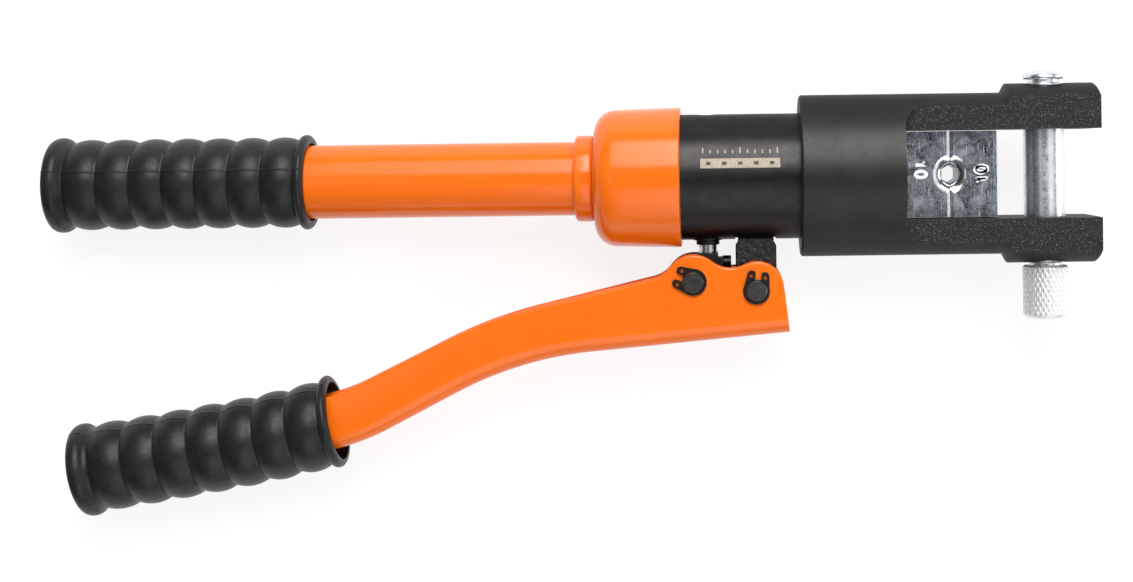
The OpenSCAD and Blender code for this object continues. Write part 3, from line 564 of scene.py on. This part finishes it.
def finish_piece(name, verts, faces, look, body, slot, *replaced, sharp=SHARP_ANGLE):
    """Makes a piece from millimetre points and sets it in place on its body."""
    mesh = closed_mesh(name, verts, faces)
    mesh.shade_smooth()
    mesh.set_sharp_from_angle(angle=math.radians(sharp))
    mesh.materials.append(LOOKS[look])
    piece = bpy.data.objects.new(name, mesh)
    bpy.context.scene.collection.objects.link(piece)
    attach(piece, body)
    if replaced:
        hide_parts(*replaced)
    return piece


def round_edges(piece, width, angle=SHARP_ANGLE):
    bevel = piece.modifiers.new("edges", "BEVEL")
    bevel.width = width * MM
    bevel.segments = EDGE_STEPS
    bevel.limit_method = "ANGLE"
    bevel.angle_limit = math.radians(angle)
    bevel.harden_normals = True


def reshaped_copy(node, steps):
    """A node's mesh after steps of ("UNION" or "DIFFERENCE", closed solid), each solid given
    as points in millimetres and faces."""
    work = bpy.data.objects.new("work", nodes[node].data.copy())
    bpy.context.scene.collection.objects.link(work)
    tools = []
    for operation, (verts, faces) in steps:
        tools.append(bpy.data.objects.new("tool", closed_mesh("tool", verts, faces)))
        bpy.context.scene.collection.objects.link(tools[-1])
        change = work.modifiers.new("change", "BOOLEAN")
        change.operation, change.solver, change.object = operation, "EXACT", tools[-1]
    graph = bpy.context.evaluated_depsgraph_get()
    result = bpy.data.meshes.new_from_object(work.evaluated_get(graph))
    for obj in [work] + tools:
        bpy.data.objects.remove(obj)
    return result


def refine(node, look, body, slot, width, steps=(), sharp=SHARP_ANGLE):
    """A copy of a CAD node's solid, with clean faces and rounded edges, in its place. width
    is that of the rounding, and 0 leaves the edges as they are."""
    bm = bmesh.new()
    bm.from_mesh(reshaped_copy(node, steps) if steps else nodes[node].data)
    bmesh.ops.remove_doubles(bm, verts=bm.verts, dist=JOIN_WITHIN)
    bmesh.ops.dissolve_limit(bm, angle_limit=math.radians(FLAT_WITHIN), verts=bm.verts,
                             edges=bm.edges)
    verts = [v.co / MM for v in bm.verts]
    faces = [[v.index for v in f.verts] for f in bm.faces]
    bm.free()
    piece = finish_piece(node + "_refined", verts, faces, look, body, slot, node, sharp=sharp)
    if width:
        round_edges(piece, width)
    return piece


def held(value):
    """value, but no less than 0 and no more than 1."""
    return min(1.0, max(0.0, value))


def direction(degrees):
    a = math.radians(degrees)
    return Vector((math.cos(a), math.sin(a)))


def normal(degrees):
    return direction(degrees + 90)


def arc(centre, radius, start, end, steps):
    """Points round a centre from start to end, in degrees, in so many equal steps."""
    return [Vector(centre) + radius * direction(start + (end - start) * i / steps)
            for i in range(steps + 1)]


def angle_of(v):
    return math.degrees(math.atan2(v[1], v[0]))


def lathe(profile, angles, place, radius=lambda along, r, a: r):
    """Body of revolution from a closed profile of (r, along). place turns (along, r, angle)
    into a point; radius may change r from place to place."""
    verts, rings = [], []
    for r, along in profile:
        if r < TINY:
            rings.append([len(verts)] * len(angles))
            verts.append(place(along, 0.0, 0.0))
            continue
        rings.append([len(verts) + i for i in range(len(angles))])
        verts += [place(along, radius(along, r, a), a) for a in angles]
    faces = []
    for ring, nxt in zip(rings, rings[1:] + rings[:1]):
        for i in range(len(angles)):
            j = (i + 1) % len(angles)
            face = []
            for v in (ring[i], ring[j], nxt[j], nxt[i]):
                if v not in face:
                    face.append(v)
            if len(face) > 2:
                faces.append(face)
    return verts, faces


# Grips: bead, ribs, bead, closed end, bore. The mouth narrows to the bore between two depths.
GRIP_R, BEAD_R, BEAD_ROUND = 18.2, 19.1, 1.9
RIB_DEPTH, RIB_COUNT, RIB_STEPS = 1.7, 7, 20
FIRST_RIB, LAST_RIB = 2.3, 6.0
END_BEAD_STRETCH, END_FLAT_IN = 1.6, 3
MOUTH_R, GRIP_BORE, GRIP_END = 15.6, 14.75, 4.2
MOUTH_FROM, MOUTH_TO = 4, 6

# Both beads as arcs: from and to in degrees, and steps
MOUTH_BEAD, END_BEAD = (90, -75, 16), (75, -60, 14)

# Round the grip: steps, and finer ones of half a degree on each side of a seam
ROUND_STEPS, SEAM_STEPS = 120, 8

# Outside the mouth's lip, the skin lies in by the seam's height and waves a little
LIP, SEAM_HEIGHT, SEAM_WIDTH = 0.5, 0.16, 1.6
WAVE_DEPTH, WAVE_LENGTH, WAVE_ROUND = 0.12, 14, 2.2

# Below 1, the middle of a bowed grip's sag moves towards its mouth
BOW_LEAN = 0.66


def grip_profile(length, slim):
    """Closed profile from the mouth backwards; slim is taken off the outer radii."""
    pitch = (length - FIRST_RIB - LAST_RIB) / RIB_COUNT
    rib_round = (pitch * pitch / 4 + RIB_DEPTH ** 2) / (2 * RIB_DEPTH)
    half = math.degrees(math.asin(pitch / 2 / rib_round))
    rib_c = GRIP_R - slim - rib_round
    bead_c = BEAD_R - slim - BEAD_ROUND
    closed = -length - BEAD_ROUND
    profile = [Vector((MOUTH_R, BEAD_ROUND))]
    profile += arc((bead_c, 0), BEAD_ROUND, *MOUTH_BEAD)
    for k in range(RIB_COUNT):
        profile += arc((rib_c, -FIRST_RIB - (k + 0.5) * pitch), rib_round, half, -half,
                       RIB_STEPS)
    for p in arc((0, 0), BEAD_ROUND, *END_BEAD):
        along = closed + BEAD_ROUND * END_BEAD_STRETCH + p[1] * END_BEAD_STRETCH
        profile.append(Vector((bead_c + p[0], max(closed, along))))
    profile += [Vector(p) for p in (
        (bead_c - END_FLAT_IN, closed), (0, closed), (0, closed + GRIP_END),
        (GRIP_BORE, closed + GRIP_END), (GRIP_BORE, -MOUTH_TO), (MOUTH_R, -MOUTH_FROM))]
    return profile


def grip_angles(seam):
    """Even steps round the grip, with fine ones across the two mould seams."""
    steps = {round(360 * i / ROUND_STEPS, 3) for i in range(ROUND_STEPS)}
    for side in (seam, seam + 180):
        steps |= {round((side + d / 2) % 360, 3) for d in range(-SEAM_STEPS, SEAM_STEPS + 1)}
    return sorted(steps)


def make_grip(name, length, slim, bow, seam, at, tilt, body, node):
    """A sleeve from its mouth backwards. bow is how far its middle sags sideways, seam the
    angle of a mould seam, with the other opposite."""
    turn = Matrix.Translation((at[0], at[1], 0)) @ Matrix.Rotation(math.radians(tilt), 4, "Z")

    def place(along, r, a):
        t = math.radians(a)
        sag = bow * math.sin(math.pi * held(-along / length) ** BOW_LEAN)
        return turn @ Vector((along, r * math.sin(t) - sag, r * math.cos(t)))

    def radius(along, r, a):
        if r < MOUTH_R + LIP:
            return r
        off = min(abs((a - seam + 90) % 180 - 90), 90)
        rise = SEAM_HEIGHT * math.exp(-((r * math.radians(off)) / (SEAM_WIDTH / 4)) ** 2)
        t = math.radians(a)
        wave = noise.noise(Vector((along / WAVE_LENGTH, WAVE_ROUND * math.sin(t),
                                   WAVE_ROUND * math.cos(t))))
        return r - SEAM_HEIGHT + rise + WAVE_DEPTH * wave

    verts, faces = lathe(grip_profile(length, slim), grip_angles(seam), place, radius)
    finish_piece(name, verts, faces, "grip_rubber", body, "grip_rubber", node,
                 sharp=RIBBED_SHARP)


# Knurled knob: where it sits, its form, and its knurl of two crossing sets of teeth, cut in all
# that lies less than KNURL_IN under the outer radius. From each end, the knurl sets in after the
# first number and is full after the second more.
PIN_X, KNOB_TOP, KNOB_LEN, KNOB_R = 38.8, -37.0, 21.1, 9.0
KNOB_CHAMFER, KNOB_ROUND, KNOB_BORE, KNOB_BORE_LEN = 0.6, 2.4, 4.65, 10.6
KNURL_TEETH, KNURL_RISE, KNURL_DEPTH = 28, 3.8, 0.36
KNURL_FINE, KNURL_SLOPE, KNURL_IN = 8, 1.7, 0.8
FADE_TOP, FADE_END = (0.3, 0.7), (0.9, 1.2)


def ridge(phase):
    """1 at whole phases, 0 halfway between them."""
    return 1 - abs((phase % 1.0) * 2 - 1)


def make_knob():
    steps = KNURL_TEETH * KNURL_FINE
    angles = [360 * i / steps for i in range(steps)]
    end = -KNOB_LEN
    rings = int(KNOB_LEN / KNURL_RISE * KNURL_FINE)
    profile = [(KNOB_BORE, 0), (KNOB_R - KNOB_CHAMFER, 0)]
    top, low = -KNOB_CHAMFER, end + KNOB_ROUND
    profile += [(KNOB_R, top + (low - top) * i / rings) for i in range(rings + 1)]
    profile += [tuple(p) for p in arc((KNOB_R - KNOB_ROUND, low), KNOB_ROUND, 0, -90, 10)[1:]]
    profile += [(0, end), (0, -KNOB_BORE_LEN), (KNOB_BORE, -KNOB_BORE_LEN)]

    def radius(along, r, a):
        if r < KNOB_R - KNURL_IN:
            return r
        fade = (held((-along - FADE_TOP[0]) / FADE_TOP[1])
                * held((along - end - FADE_END[0]) / FADE_END[1]))
        u, v = a / 360 * KNURL_TEETH, along / KNURL_RISE
        crest = min(ridge(u + v), ridge(u - v))
        return r - KNURL_DEPTH * fade * (1 - min(1.0, KNURL_SLOPE * crest))

    def place(along, r, a):
        t = math.radians(a)
        return Vector((PIN_X + r * math.sin(t), KNOB_TOP + along, r * math.cos(t)))

    verts, faces = lathe(profile, angles, place, radius)
    finish_piece("knurled_knob", verts, faces, "knurled_zinc", "pin_assembly", "zinc_plate",
                 "lock_pin_knob", sharp=RIBBED_SHARP)


# Pump lever: a channel whose underside runs from the nose through two long curves to the grip,
# straight at three slopes in degrees
PIVOT = Vector((-76.9, -44.8))
PLUNGER_PIN = Vector((-102.0, -41.2))
LEVER_HALF, SHEET, BEND_R = 10.0, 3.0, 6.0
SLOPE_FRONT, SLOPE_MIDDLE, SLOPE_GRIP = 5.0, 27.3, 10.4
CURVE_R, GRIP_CURVE_R = 145.0, 90.0
CURVE_STEPS, GRIP_CURVE_STEPS = 40, 24

# From the pivot forward to the nose and down to the underside, how far the lower corner then
# lies back, and the two straight lengths
NOSE_AHEAD, BELLY_DROP, CORNER_BACK = 11.7, 18.2, 0.17
FRONT_LEN, MIDDLE_LEN = 79.3, 30.3

# Depths of the channel, and the slope of its top at the waist
CHANNEL_DEPTH, MIDDLE_DEPTH, WAIST_DEPTH, WAIST_SLOPE = 21.3, 20.6, 22.9, 13.3

# The top's two humps lie round the pins' places, moved a little
HUMP_R, NOSE_R, VALLEY_R, FILLET_R = 11.4, 10.7, 12.0, 12.0
HUMP_OFF, NOSE_OFF = Vector((0.2, -0.6)), Vector((0.2, 0.8))

# Sections along the front: even ones, then ever closer ones over the last stretch; over the
# lean's length they turn from upright to the line of the nose's front
EVEN_STEPS, CLOSE_STEPS, CLOSE_LEN, LEAN_LEN = 84, 22, 12.0, 24.0

# Rounding of the sheet's upper edges and of its bends, with their steps, and of the lever's
# sharp ends, with their least angle
RIM_ROUND, RIM_STEPS, BEND_STEPS = 1.2, 6, 12
END_ROUND, END_ANGLE = 0.3, 60

# The grip's length, how far its mouth lies ahead of the second curve, how far the channel
# ends before the grip does, and how far the top is drawn past that end
LEVER_GRIP_LEN, MOUTH_AHEAD, END_SHORT, TOP_PAST = 100.2, 3.6, 4.5, 5

belly_nose = PIVOT + NOSE_AHEAD * direction(SLOPE_FRONT) - BELLY_DROP * normal(SLOPE_FRONT)
curve1_start = belly_nose - FRONT_LEN * direction(SLOPE_FRONT)
curve1_centre = curve1_start - CURVE_R * normal(SLOPE_FRONT)
curve1_end = curve1_centre + CURVE_R * normal(SLOPE_MIDDLE)
curve2_start = curve1_end - MIDDLE_LEN * direction(SLOPE_MIDDLE)
curve2_centre = curve2_start + GRIP_CURVE_R * normal(SLOPE_MIDDLE)
curve2_end = curve2_centre - GRIP_CURVE_R * normal(SLOPE_GRIP)
lever_grip_mouth = (curve2_end + CHANNEL_DEPTH / 2 * normal(SLOPE_GRIP)
                    + MOUTH_AHEAD * direction(SLOPE_GRIP))
lever_end = curve2_end - (LEVER_GRIP_LEN - MOUTH_AHEAD - END_SHORT) * direction(SLOPE_GRIP)


def meet(p, a, q, b):
    """Where a line through p at a degrees crosses a line through q at b degrees."""
    d = q - p
    s = ((d[0] * math.sin(math.radians(b)) - d[1] * math.cos(math.radians(b)))
         / math.sin(math.radians(b - a)))
    return p + s * direction(a)


def beside(p, r, q, s):
    """The point at r from p and at s from q, to the left of the way from p to q."""
    d = (q - p).length
    u = (q - p) / d
    x = (d * d + r * r - s * s) / (2 * d)
    return p + x * u + math.sqrt(r * r - x * x) * Vector((-u[1], u[0]))


def over_line(p, a, h, c, r):
    """The point h over a line through p at a degrees and at r from c, short of c."""
    k, x = (c - p).dot(normal(a)), (c - p).dot(direction(a))
    return p + (x - math.sqrt(r * r - (k - h) ** 2)) * direction(a) + h * normal(a)


def lever_top(hump, nose, nose_end):
    """The lever's upper edge as a polyline: from the grip through the bend, the waist and the
    fillet to the hump, the valley and the nose."""
    waist = curve1_start + WAIST_DEPTH * normal(SLOPE_FRONT)
    middle_top = curve1_end + MIDDLE_DEPTH * normal(SLOPE_MIDDLE)
    corner = meet(waist, WAIST_SLOPE, middle_top, SLOPE_MIDDLE)
    turn_r = (corner - middle_top).length / math.tan(
        math.radians(SLOPE_MIDDLE - WAIST_SLOPE) / 2)
    turn_c = middle_top - turn_r * normal(SLOPE_MIDDLE)
    fillet = over_line(waist, WAIST_SLOPE, FILLET_R, hump, HUMP_R + FILLET_R)
    valley = beside(hump, HUMP_R + VALLEY_R, nose, NOSE_R + VALLEY_R)
    return (
        [lever_end + CHANNEL_DEPTH * normal(SLOPE_GRIP) - TOP_PAST * direction(SLOPE_GRIP)]
        + arc(curve2_centre, GRIP_CURVE_R - CHANNEL_DEPTH, SLOPE_GRIP - 90, SLOPE_MIDDLE - 90, 24)
        + arc(turn_c, turn_r, 90 + SLOPE_MIDDLE, 90 + WAIST_SLOPE, 30)
        + arc(fillet, FILLET_R, WAIST_SLOPE - 90, angle_of(hump - fillet), 24)
        + arc(hump, HUMP_R, angle_of(fillet - hump), angle_of(valley - hump), 48)
        + arc(valley, VALLEY_R, angle_of(hump - valley) + 360, angle_of(nose - valley) + 360, 24)
        + arc(nose, NOSE_R, angle_of(valley - nose), nose_end, 60)
    )


def reach(base, way, line):
    """Distance from base along way to the last crossing with the polyline, if there is one."""
    best = None
    for p, q in zip(line, line[1:]):
        d = q - p
        cross = way[0] * d[1] - way[1] * d[0]
        if abs(cross) < TINY * TINY:
            continue
        w = p - base
        t = (w[0] * d[1] - w[1] * d[0]) / cross
        s = (w[0] * way[1] - w[1] * way[0]) / cross
        if t > 1 and -TINY <= s <= 1 + TINY and (best is None or t > best):
            best = t
    return best


def channel_ring(h):
    """Section of the channel as (height over the underside, z), outer face then inner.
    The sheet's two upper edges are rounded."""

    def face(inset, r, sense):
        z = LEVER_HALF - inset
        rim = arc((h - RIM_ROUND, z - sense * RIM_ROUND), RIM_ROUND, 0, 90 * sense, RIM_STEPS)
        half = [tuple(p) for p in rim + arc((inset + r, z - r), r, 90, 180, BEND_STEPS)]
        return half + [(q, -side) for q, side in reversed(half)]

    return face(0, BEND_R, 1) + face(SHEET, BEND_R - SHEET, -1)[::-1]


def lever_stations(nose_end, corner):
    """(point on the underside, direction of the section) from the grip to the nose."""
    stations = [(lever_end, SLOPE_GRIP + 90)]
    for i in range(GRIP_CURVE_STEPS + 1):
        a = SLOPE_GRIP + (SLOPE_MIDDLE - SLOPE_GRIP) * i / GRIP_CURVE_STEPS
        stations.append((curve2_centre - GRIP_CURVE_R * normal(a), a + 90))
    for i in range(CURVE_STEPS + 1):
        a = SLOPE_MIDDLE + (SLOPE_FRONT - SLOPE_MIDDLE) * i / CURVE_STEPS
        stations.append((curve1_centre + CURVE_R * normal(a), a + 90))
    whole = (corner - curve1_start).length
    even = whole - CLOSE_LEN
    stops = [even * i / EVEN_STEPS for i in range(1, EVEN_STEPS + 1)]
    stops += [even + CLOSE_LEN * math.sin(math.pi / 2 * i / CLOSE_STEPS)
              for i in range(1, CLOSE_STEPS + 1)]
    for s in stops:
        lean = max(0.0, s - (whole - LEAN_LEN)) / LEAN_LEN
        stations.append((curve1_start + s * direction(SLOPE_FRONT),
                         SLOPE_FRONT + 90 + lean * (nose_end - SLOPE_FRONT)))
    return stations


def make_lever():
    hump = PLUNGER_PIN + HUMP_OFF
    nose = PIVOT + NOSE_OFF
    corner = belly_nose - CORNER_BACK * direction(SLOPE_FRONT)
    away = corner - nose
    nose_end = angle_of(away) + math.degrees(math.acos(NOSE_R / away.length))
    top = lever_top(hump, nose, nose_end)
    verts, rings = [], []
    for base, aim in lever_stations(nose_end, corner):
        way = direction(aim)
        h = reach(base, way, top) or (nose + NOSE_R * direction(nose_end) - base).length
        ring = []
        for q, z in channel_ring(h):
            at = base + q * way
            ring.append(len(verts))
            verts.append((at[0], at[1], z))
        rings.append(ring)
    n = len(rings[0])
    faces = [[a[i], b[i], b[(i + 1) % n], a[(i + 1) % n]]
             for a, b in zip(rings, rings[1:]) for i in range(n)]
    for ring in (rings[0], rings[-1]):
        faces += [[ring[i], ring[i + 1], ring[n - 2 - i], ring[n - 1 - i]]
                  for i in range(n // 2 - 1)]
    lever = finish_piece("lever_channel", verts, faces, "orange_paint", "lever_assembly",
                         "orange_paint", "lever_arm")
    round_edges(lever, END_ROUND, END_ANGLE)


# Dies: half their thickness and height, the shallow edge along each parting face, the nest
# and its round bell mouth, and the upper die's long back bevels
DIE_TOP, DIE_REACH = 11.0, 17.0
PARTING, EDGE_WIDE, EDGE_DEEP = 0.15, 1.2, 0.42
FRONT_REACH, NEST_FLATS = 7.4, 6.75
BELL_R, BELL_OFF, BELL_ROUND, BELL_SLOPES = 7.9, 1.05, 5.7, (8, 68)
BELL_STEPS, BELL_SIDES = 13, 72
BACK_X, BACK_BEVEL = 18.6, 1.7

# Cutters reach past the die, and a bevel's cutter starts a hair outside its edge
PAST, HAIR = 1, 0.01

# Rounding of the dies' edges, and the least angle of a sharp one. Bright zinc goes on the faces
# near the nest whose normals' upright part lies between two limits: the reamed bell flanks, and
# the lower die's parting edge as a painted highlight.
DIE_ROUND, DIE_SHARP = 0.25, 7
BRIGHT_ZINC_SLANT = (0.2, 0.99)


def prism_faces(n):
    """Faces of a prism whose points are one profile of n points and then the other."""
    sides = [[i, (i + 1) % n, n + (i + 1) % n, n + i] for i in range(n)]
    return [list(range(n)), list(range(n, 2 * n))] + sides


def prism_y(profile, half):
    """Prism with a closed (x, z) profile, from -half to half along Y."""
    verts = [(x, y, z) for y in (-half, half) for x, z in profile]
    return verts, prism_faces(len(profile))


def nest_prism():
    """The hexagon that runs through both dies, with a corner at each parting line."""
    corners = [NEST_FLATS / math.sqrt(3) * direction(90 + 60 * i) for i in range(6)]
    verts = [(x, y, z) for z in (-DIE_TOP - PAST, DIE_TOP + PAST) for x, y in corners]
    return verts, prism_faces(len(corners))


def bell_cutter(sense, side):
    """Flared mouth of the nest. Its middle lies past the parting face, as on dies that
    were turned with a shim between them."""
    first, last = BELL_SLOPES
    centre = Vector((BELL_R, DIE_TOP)) - BELL_ROUND * direction(90 + first)
    flare = arc(centre, BELL_ROUND, 90 + first, 90 + last, BELL_STEPS)
    profile = [(0, DIE_TOP + PAST), (BELL_R, DIE_TOP + PAST)] + flare + [(0, flare[-1][1])]

    def place(along, r, a):
        t = math.radians(a)
        return Vector((r * math.cos(t) - sense * BELL_OFF, r * math.sin(t), side * along))

    return lathe(profile, [360 * i / BELL_SIDES for i in range(BELL_SIDES)], place)


def die_steps(sense):
    """Steps that give a plain die its shallow parting edges and round bell mouths."""
    front = [(PARTING, DIE_TOP - EDGE_DEEP), (PARTING + EDGE_WIDE, DIE_TOP),
             (FRONT_REACH, DIE_TOP)]
    section = [(sense * x, z) for x, z in front + [(x, -z) for x, z in reversed(front)]]
    return [("UNION", prism_y(section, DIE_REACH)), ("DIFFERENCE", nest_prism())] + [
        ("DIFFERENCE", bell_cutter(sense, side)) for side in (1, -1)]


def back_steps():
    """Steps that bevel both long back edges of the upper die."""
    corner = [(BACK_X - BACK_BEVEL, DIE_TOP + HAIR), (BACK_X + PAST, DIE_TOP + PAST),
              (BACK_X + HAIR, DIE_TOP - BACK_BEVEL)]
    return [("DIFFERENCE", prism_y([(x, side * z) for x, z in corner], DIE_REACH + PAST))
            for side in (1, -1)]


def make_die(node, body, sense, more=()):
    """sense is -1 for the lower die and 1 for the upper. The bell's flanks are reamed zinc, and
    the lower die's shallow edge at the parting line gets the same bright zinc as a painted
    highlight."""
    die = refine(node, "zinc_plate", body, "zinc_plate", DIE_ROUND, sharp=DIE_SHARP,
                 steps=die_steps(sense) + list(more))
    die.data.materials.append(LOOKS["reamed_zinc_and_painted_highlight"])
    least, most = BRIGHT_ZINC_SLANT
    for face in die.data.polygons:
        x, y, z = face.center / MM
        # The lower die's parting edge takes the bright zinc as a painted highlight
        near = math.hypot(x, y) < BELL_R or (sense < 0 and x > -PARTING - EDGE_WIDE)
        if near and abs(z) > DIE_TOP / 2 and least < abs(face.normal.z) < most:
            face.material_index = 1


# Punched size figures: height, pitch, stroke, and how far their burr stands out and reaches in.
# The one has a flag to its left, the nought is drawn in so many steps.
FIGURE_TALL, FIGURE_PITCH, STROKE = 5.6, 3.7, 1.3
FIGURE_RISE, FIGURE_SUNK = 0.08, 0.05
FLAG_WIDE, FLAG_DROP = 1.1, 1.3
NOUGHT_HALF, NOUGHT_STEPS = 1.25, 32


def stroke_sides(points, half):
    """Left and right side of a stroke of the given half width along an open polyline."""
    left, right = [], []
    for i, p in enumerate(points):
        along = (points[min(i + 1, len(points) - 1)] - points[max(i - 1, 0)]).normalized()
        side = half * Vector((-along[1], along[0]))
        left.append(p + side)
        right.append(p - side)
    return left, right


def figure_strokes():
    """The strokes of a one and a nought side by side, as centre lines."""
    tall = FIGURE_TALL / 2 - STROKE / 2
    middle = FIGURE_PITCH / 2
    one = [Vector((-middle - FLAG_WIDE, tall - FLAG_DROP)), Vector((-middle, tall)),
           Vector((-middle, -tall))]
    nought = [Vector((middle + NOUGHT_HALF * math.cos(t), tall * math.sin(t)))
              for t in (2 * math.pi * i / NOUGHT_STEPS for i in range(NOUGHT_STEPS + 1))]
    return [one, nought]


def make_size_mark(name, middle, up, strikes, body):
    """Plain size figures punched beside the nest, shown by their raised burr in painted-highlight
    white. strikes holds the shift of each blow of the punch."""
    verts, faces = [], []
    across = Vector((up[1], -up[0]))
    for shift in strikes:
        for line in figure_strokes():
            left, right = stroke_sides(line, STROKE / 2)
            ring = left + right[::-1]
            start = len(verts)
            for z in (DIE_TOP - FIGURE_SUNK, DIE_TOP + FIGURE_RISE):
                for p in ring:
                    at = (Vector(middle) + Vector(shift) + p[0] * across + p[1] * Vector(up))
                    verts.append((at[0], at[1], z))
            n, m = len(ring), len(left)
            for i in range(m - 1):
                low = [start + i, start + i + 1, start + n - 2 - i, start + n - 1 - i]
                faces += [low, [v + n for v in low]]
            faces += [[start + i, start + (i + 1) % n, start + n + (i + 1) % n, start + n + i]
                      for i in range(n)]
    finish_piece(name, verts, faces, "stamped_mark", body, "zinc_plate")


# Etched scale on the cylinder: how far its thin plates reach in and out, and their steps round
# it. The bar is (x from, x to, y from, y to), a row (y from, y to); every fifth tick is long.
ETCH_R, ETCH_IN, ETCH_OUT, ETCH_STEP = 25.0, 0.05, 0.03, 0.4
ETCH_BAR = (-98.2, -67.3, 3.7, 7.4)
TICK_COUNT, TICK_ROW, TICK_WIDE, TICK_MARGIN = 11, (9.4, 11.6), 0.5, 1.0
LONG_EVERY, TICK_SHORTER = 5, 0.9
DASH_COUNT, DASH_ROW, DASH_HALF, DASH_OVER = 5, (4.9, 6.2), 0.9, 0.02


def curved_plate(verts, faces, box, out):
    """Adds a thin closed plate that follows the cylinder and stands out from it."""
    x0, x1, y0, y1 = box
    steps = max(1, round((y1 - y0) / ETCH_STEP))
    start = len(verts)
    for x in (x0, x1):
        for r in (ETCH_R - ETCH_IN, ETCH_R + out):
            for i in range(steps + 1):
                t = math.asin((y0 + (y1 - y0) * i / steps) / ETCH_R)
                verts.append((x, r * math.sin(t), r * math.cos(t)))
    n = steps + 1
    near_in, near_out, far_in, far_out = (list(range(start + k * n, start + (k + 1) * n))
                                          for k in range(4))
    for i in range(steps):
        for a, b in ((near_in, near_out), (near_out, far_out), (far_out, far_in),
                     (far_in, near_in)):
            faces.append([a[i], a[i + 1], b[i + 1], b[i]])
    faces += [[near_in[e], near_out[e], far_out[e], far_in[e]] for e in (0, -1)]


def make_etching():
    """A bar with a row of ticks over it, and dark dashes on the bar."""
    x0, x1 = ETCH_BAR[:2]
    verts, faces = [], []
    curved_plate(verts, faces, ETCH_BAR, ETCH_OUT)
    for i in range(TICK_COUNT):
        x = x0 + TICK_MARGIN + (x1 - x0 - 2 * TICK_MARGIN) * i / (TICK_COUNT - 1)
        less = 0.0 if i % LONG_EVERY == 0 else TICK_SHORTER
        curved_plate(verts, faces, (x - TICK_WIDE / 2, x + TICK_WIDE / 2, TICK_ROW[0],
                                    TICK_ROW[1] - less), ETCH_OUT)
    finish_piece("etched_scale", verts, faces, "etched_mark", "tool_body", "black_oxide")
    verts, faces = [], []
    for i in range(DASH_COUNT):
        x = x0 + (x1 - x0) * (i + 0.5) / DASH_COUNT
        curved_plate(verts, faces, (x - DASH_HALF, x + DASH_HALF, *DASH_ROW),
                     ETCH_OUT + DASH_OVER)
    finish_piece("etched_scale_dashes", verts, faces, "turned_oxide", "tool_body", "black_oxide")


def make_spring(node):
    """A coil spring kept in its CAD form, in bright steel and in a mesh of its own."""
    spring = refine(node, "bright_steel", "tool_body", "bright_steel", 0)
    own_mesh(spring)


# Pieces that keep the CAD's form and get rounded edges: node, look, body, slot and the width
# of the rounding in millimetres
HOUSING = (
    ("head_yoke", "black_coat", "tool_body", "black_coat", 0.8),
    ("cylinder_body", "turned_oxide", "tool_body", "black_oxide", 0.5),
    ("reservoir_cup", "orange_paint", "tool_body", "orange_paint", 0.4),
    ("handle_collar", "orange_paint", "tool_body", "orange_paint", 0.3),
)
FITTINGS = (
    ("lock_pin", "polished_zinc", "pin_assembly", "zinc_plate", 0.2),
    ("pivot_pin", "pin_oxide", "lever_assembly", "black_oxide", 0.5),
    ("plunger_pin", "pin_oxide", "lever_assembly", "black_oxide", 0.5),
    ("circlips", "black_oxide", "lever_assembly", "black_oxide", 0.12),
    ("plunger_head", "black_oxide", "plunger_assembly", "black_oxide", 0.5),
    ("head_clamp_screw", "black_oxide", "plunger_assembly", "black_oxide", 0.2),
    ("pivot_block", "welded_oxide", "tool_body", "black_oxide", 0.7),
    ("plunger_gland", "black_oxide", "tool_body", "black_oxide", 0.25),
)


def make_pieces():
    make_grip("fixed_grip_sleeve", length=98.5, slim=0.0, bow=0.0, seam=18.0,
              at=(-255.8, 0.0), tilt=0.0, body="tool_body", node="fixed_grip")
    make_grip("lever_grip_sleeve", length=LEVER_GRIP_LEN, slim=0.5, bow=1.4, seam=62.0,
              at=lever_grip_mouth, tilt=SLOPE_GRIP, body="lever_assembly", node="lever_grip")
    make_knob()
    make_lever()
    make_spring("ram_return_spring")
    make_spring("release_spring")
    make_etching()
    make_size_mark("size_mark_lower", middle=(-11.6, 1.9), up=(1, 0), strikes=[(0, 0)],
                   body="ram_assembly")
    make_size_mark("size_mark_upper", middle=(11.8, -0.3), up=(-1, 0),
                   strikes=[(0, 0), (0.7, 0.5)], body="sliding_die")
    for row in HOUSING:
        refine(*row)
    make_die("lower_die", "ram_assembly", -1)
    make_die("upper_die", "sliding_die", 1, back_steps())
    for row in FITTINGS:
        refine(*row)


make_camera()
make_world()
make_floor()
add_lamps()
dress_cad_nodes()
make_pieces()
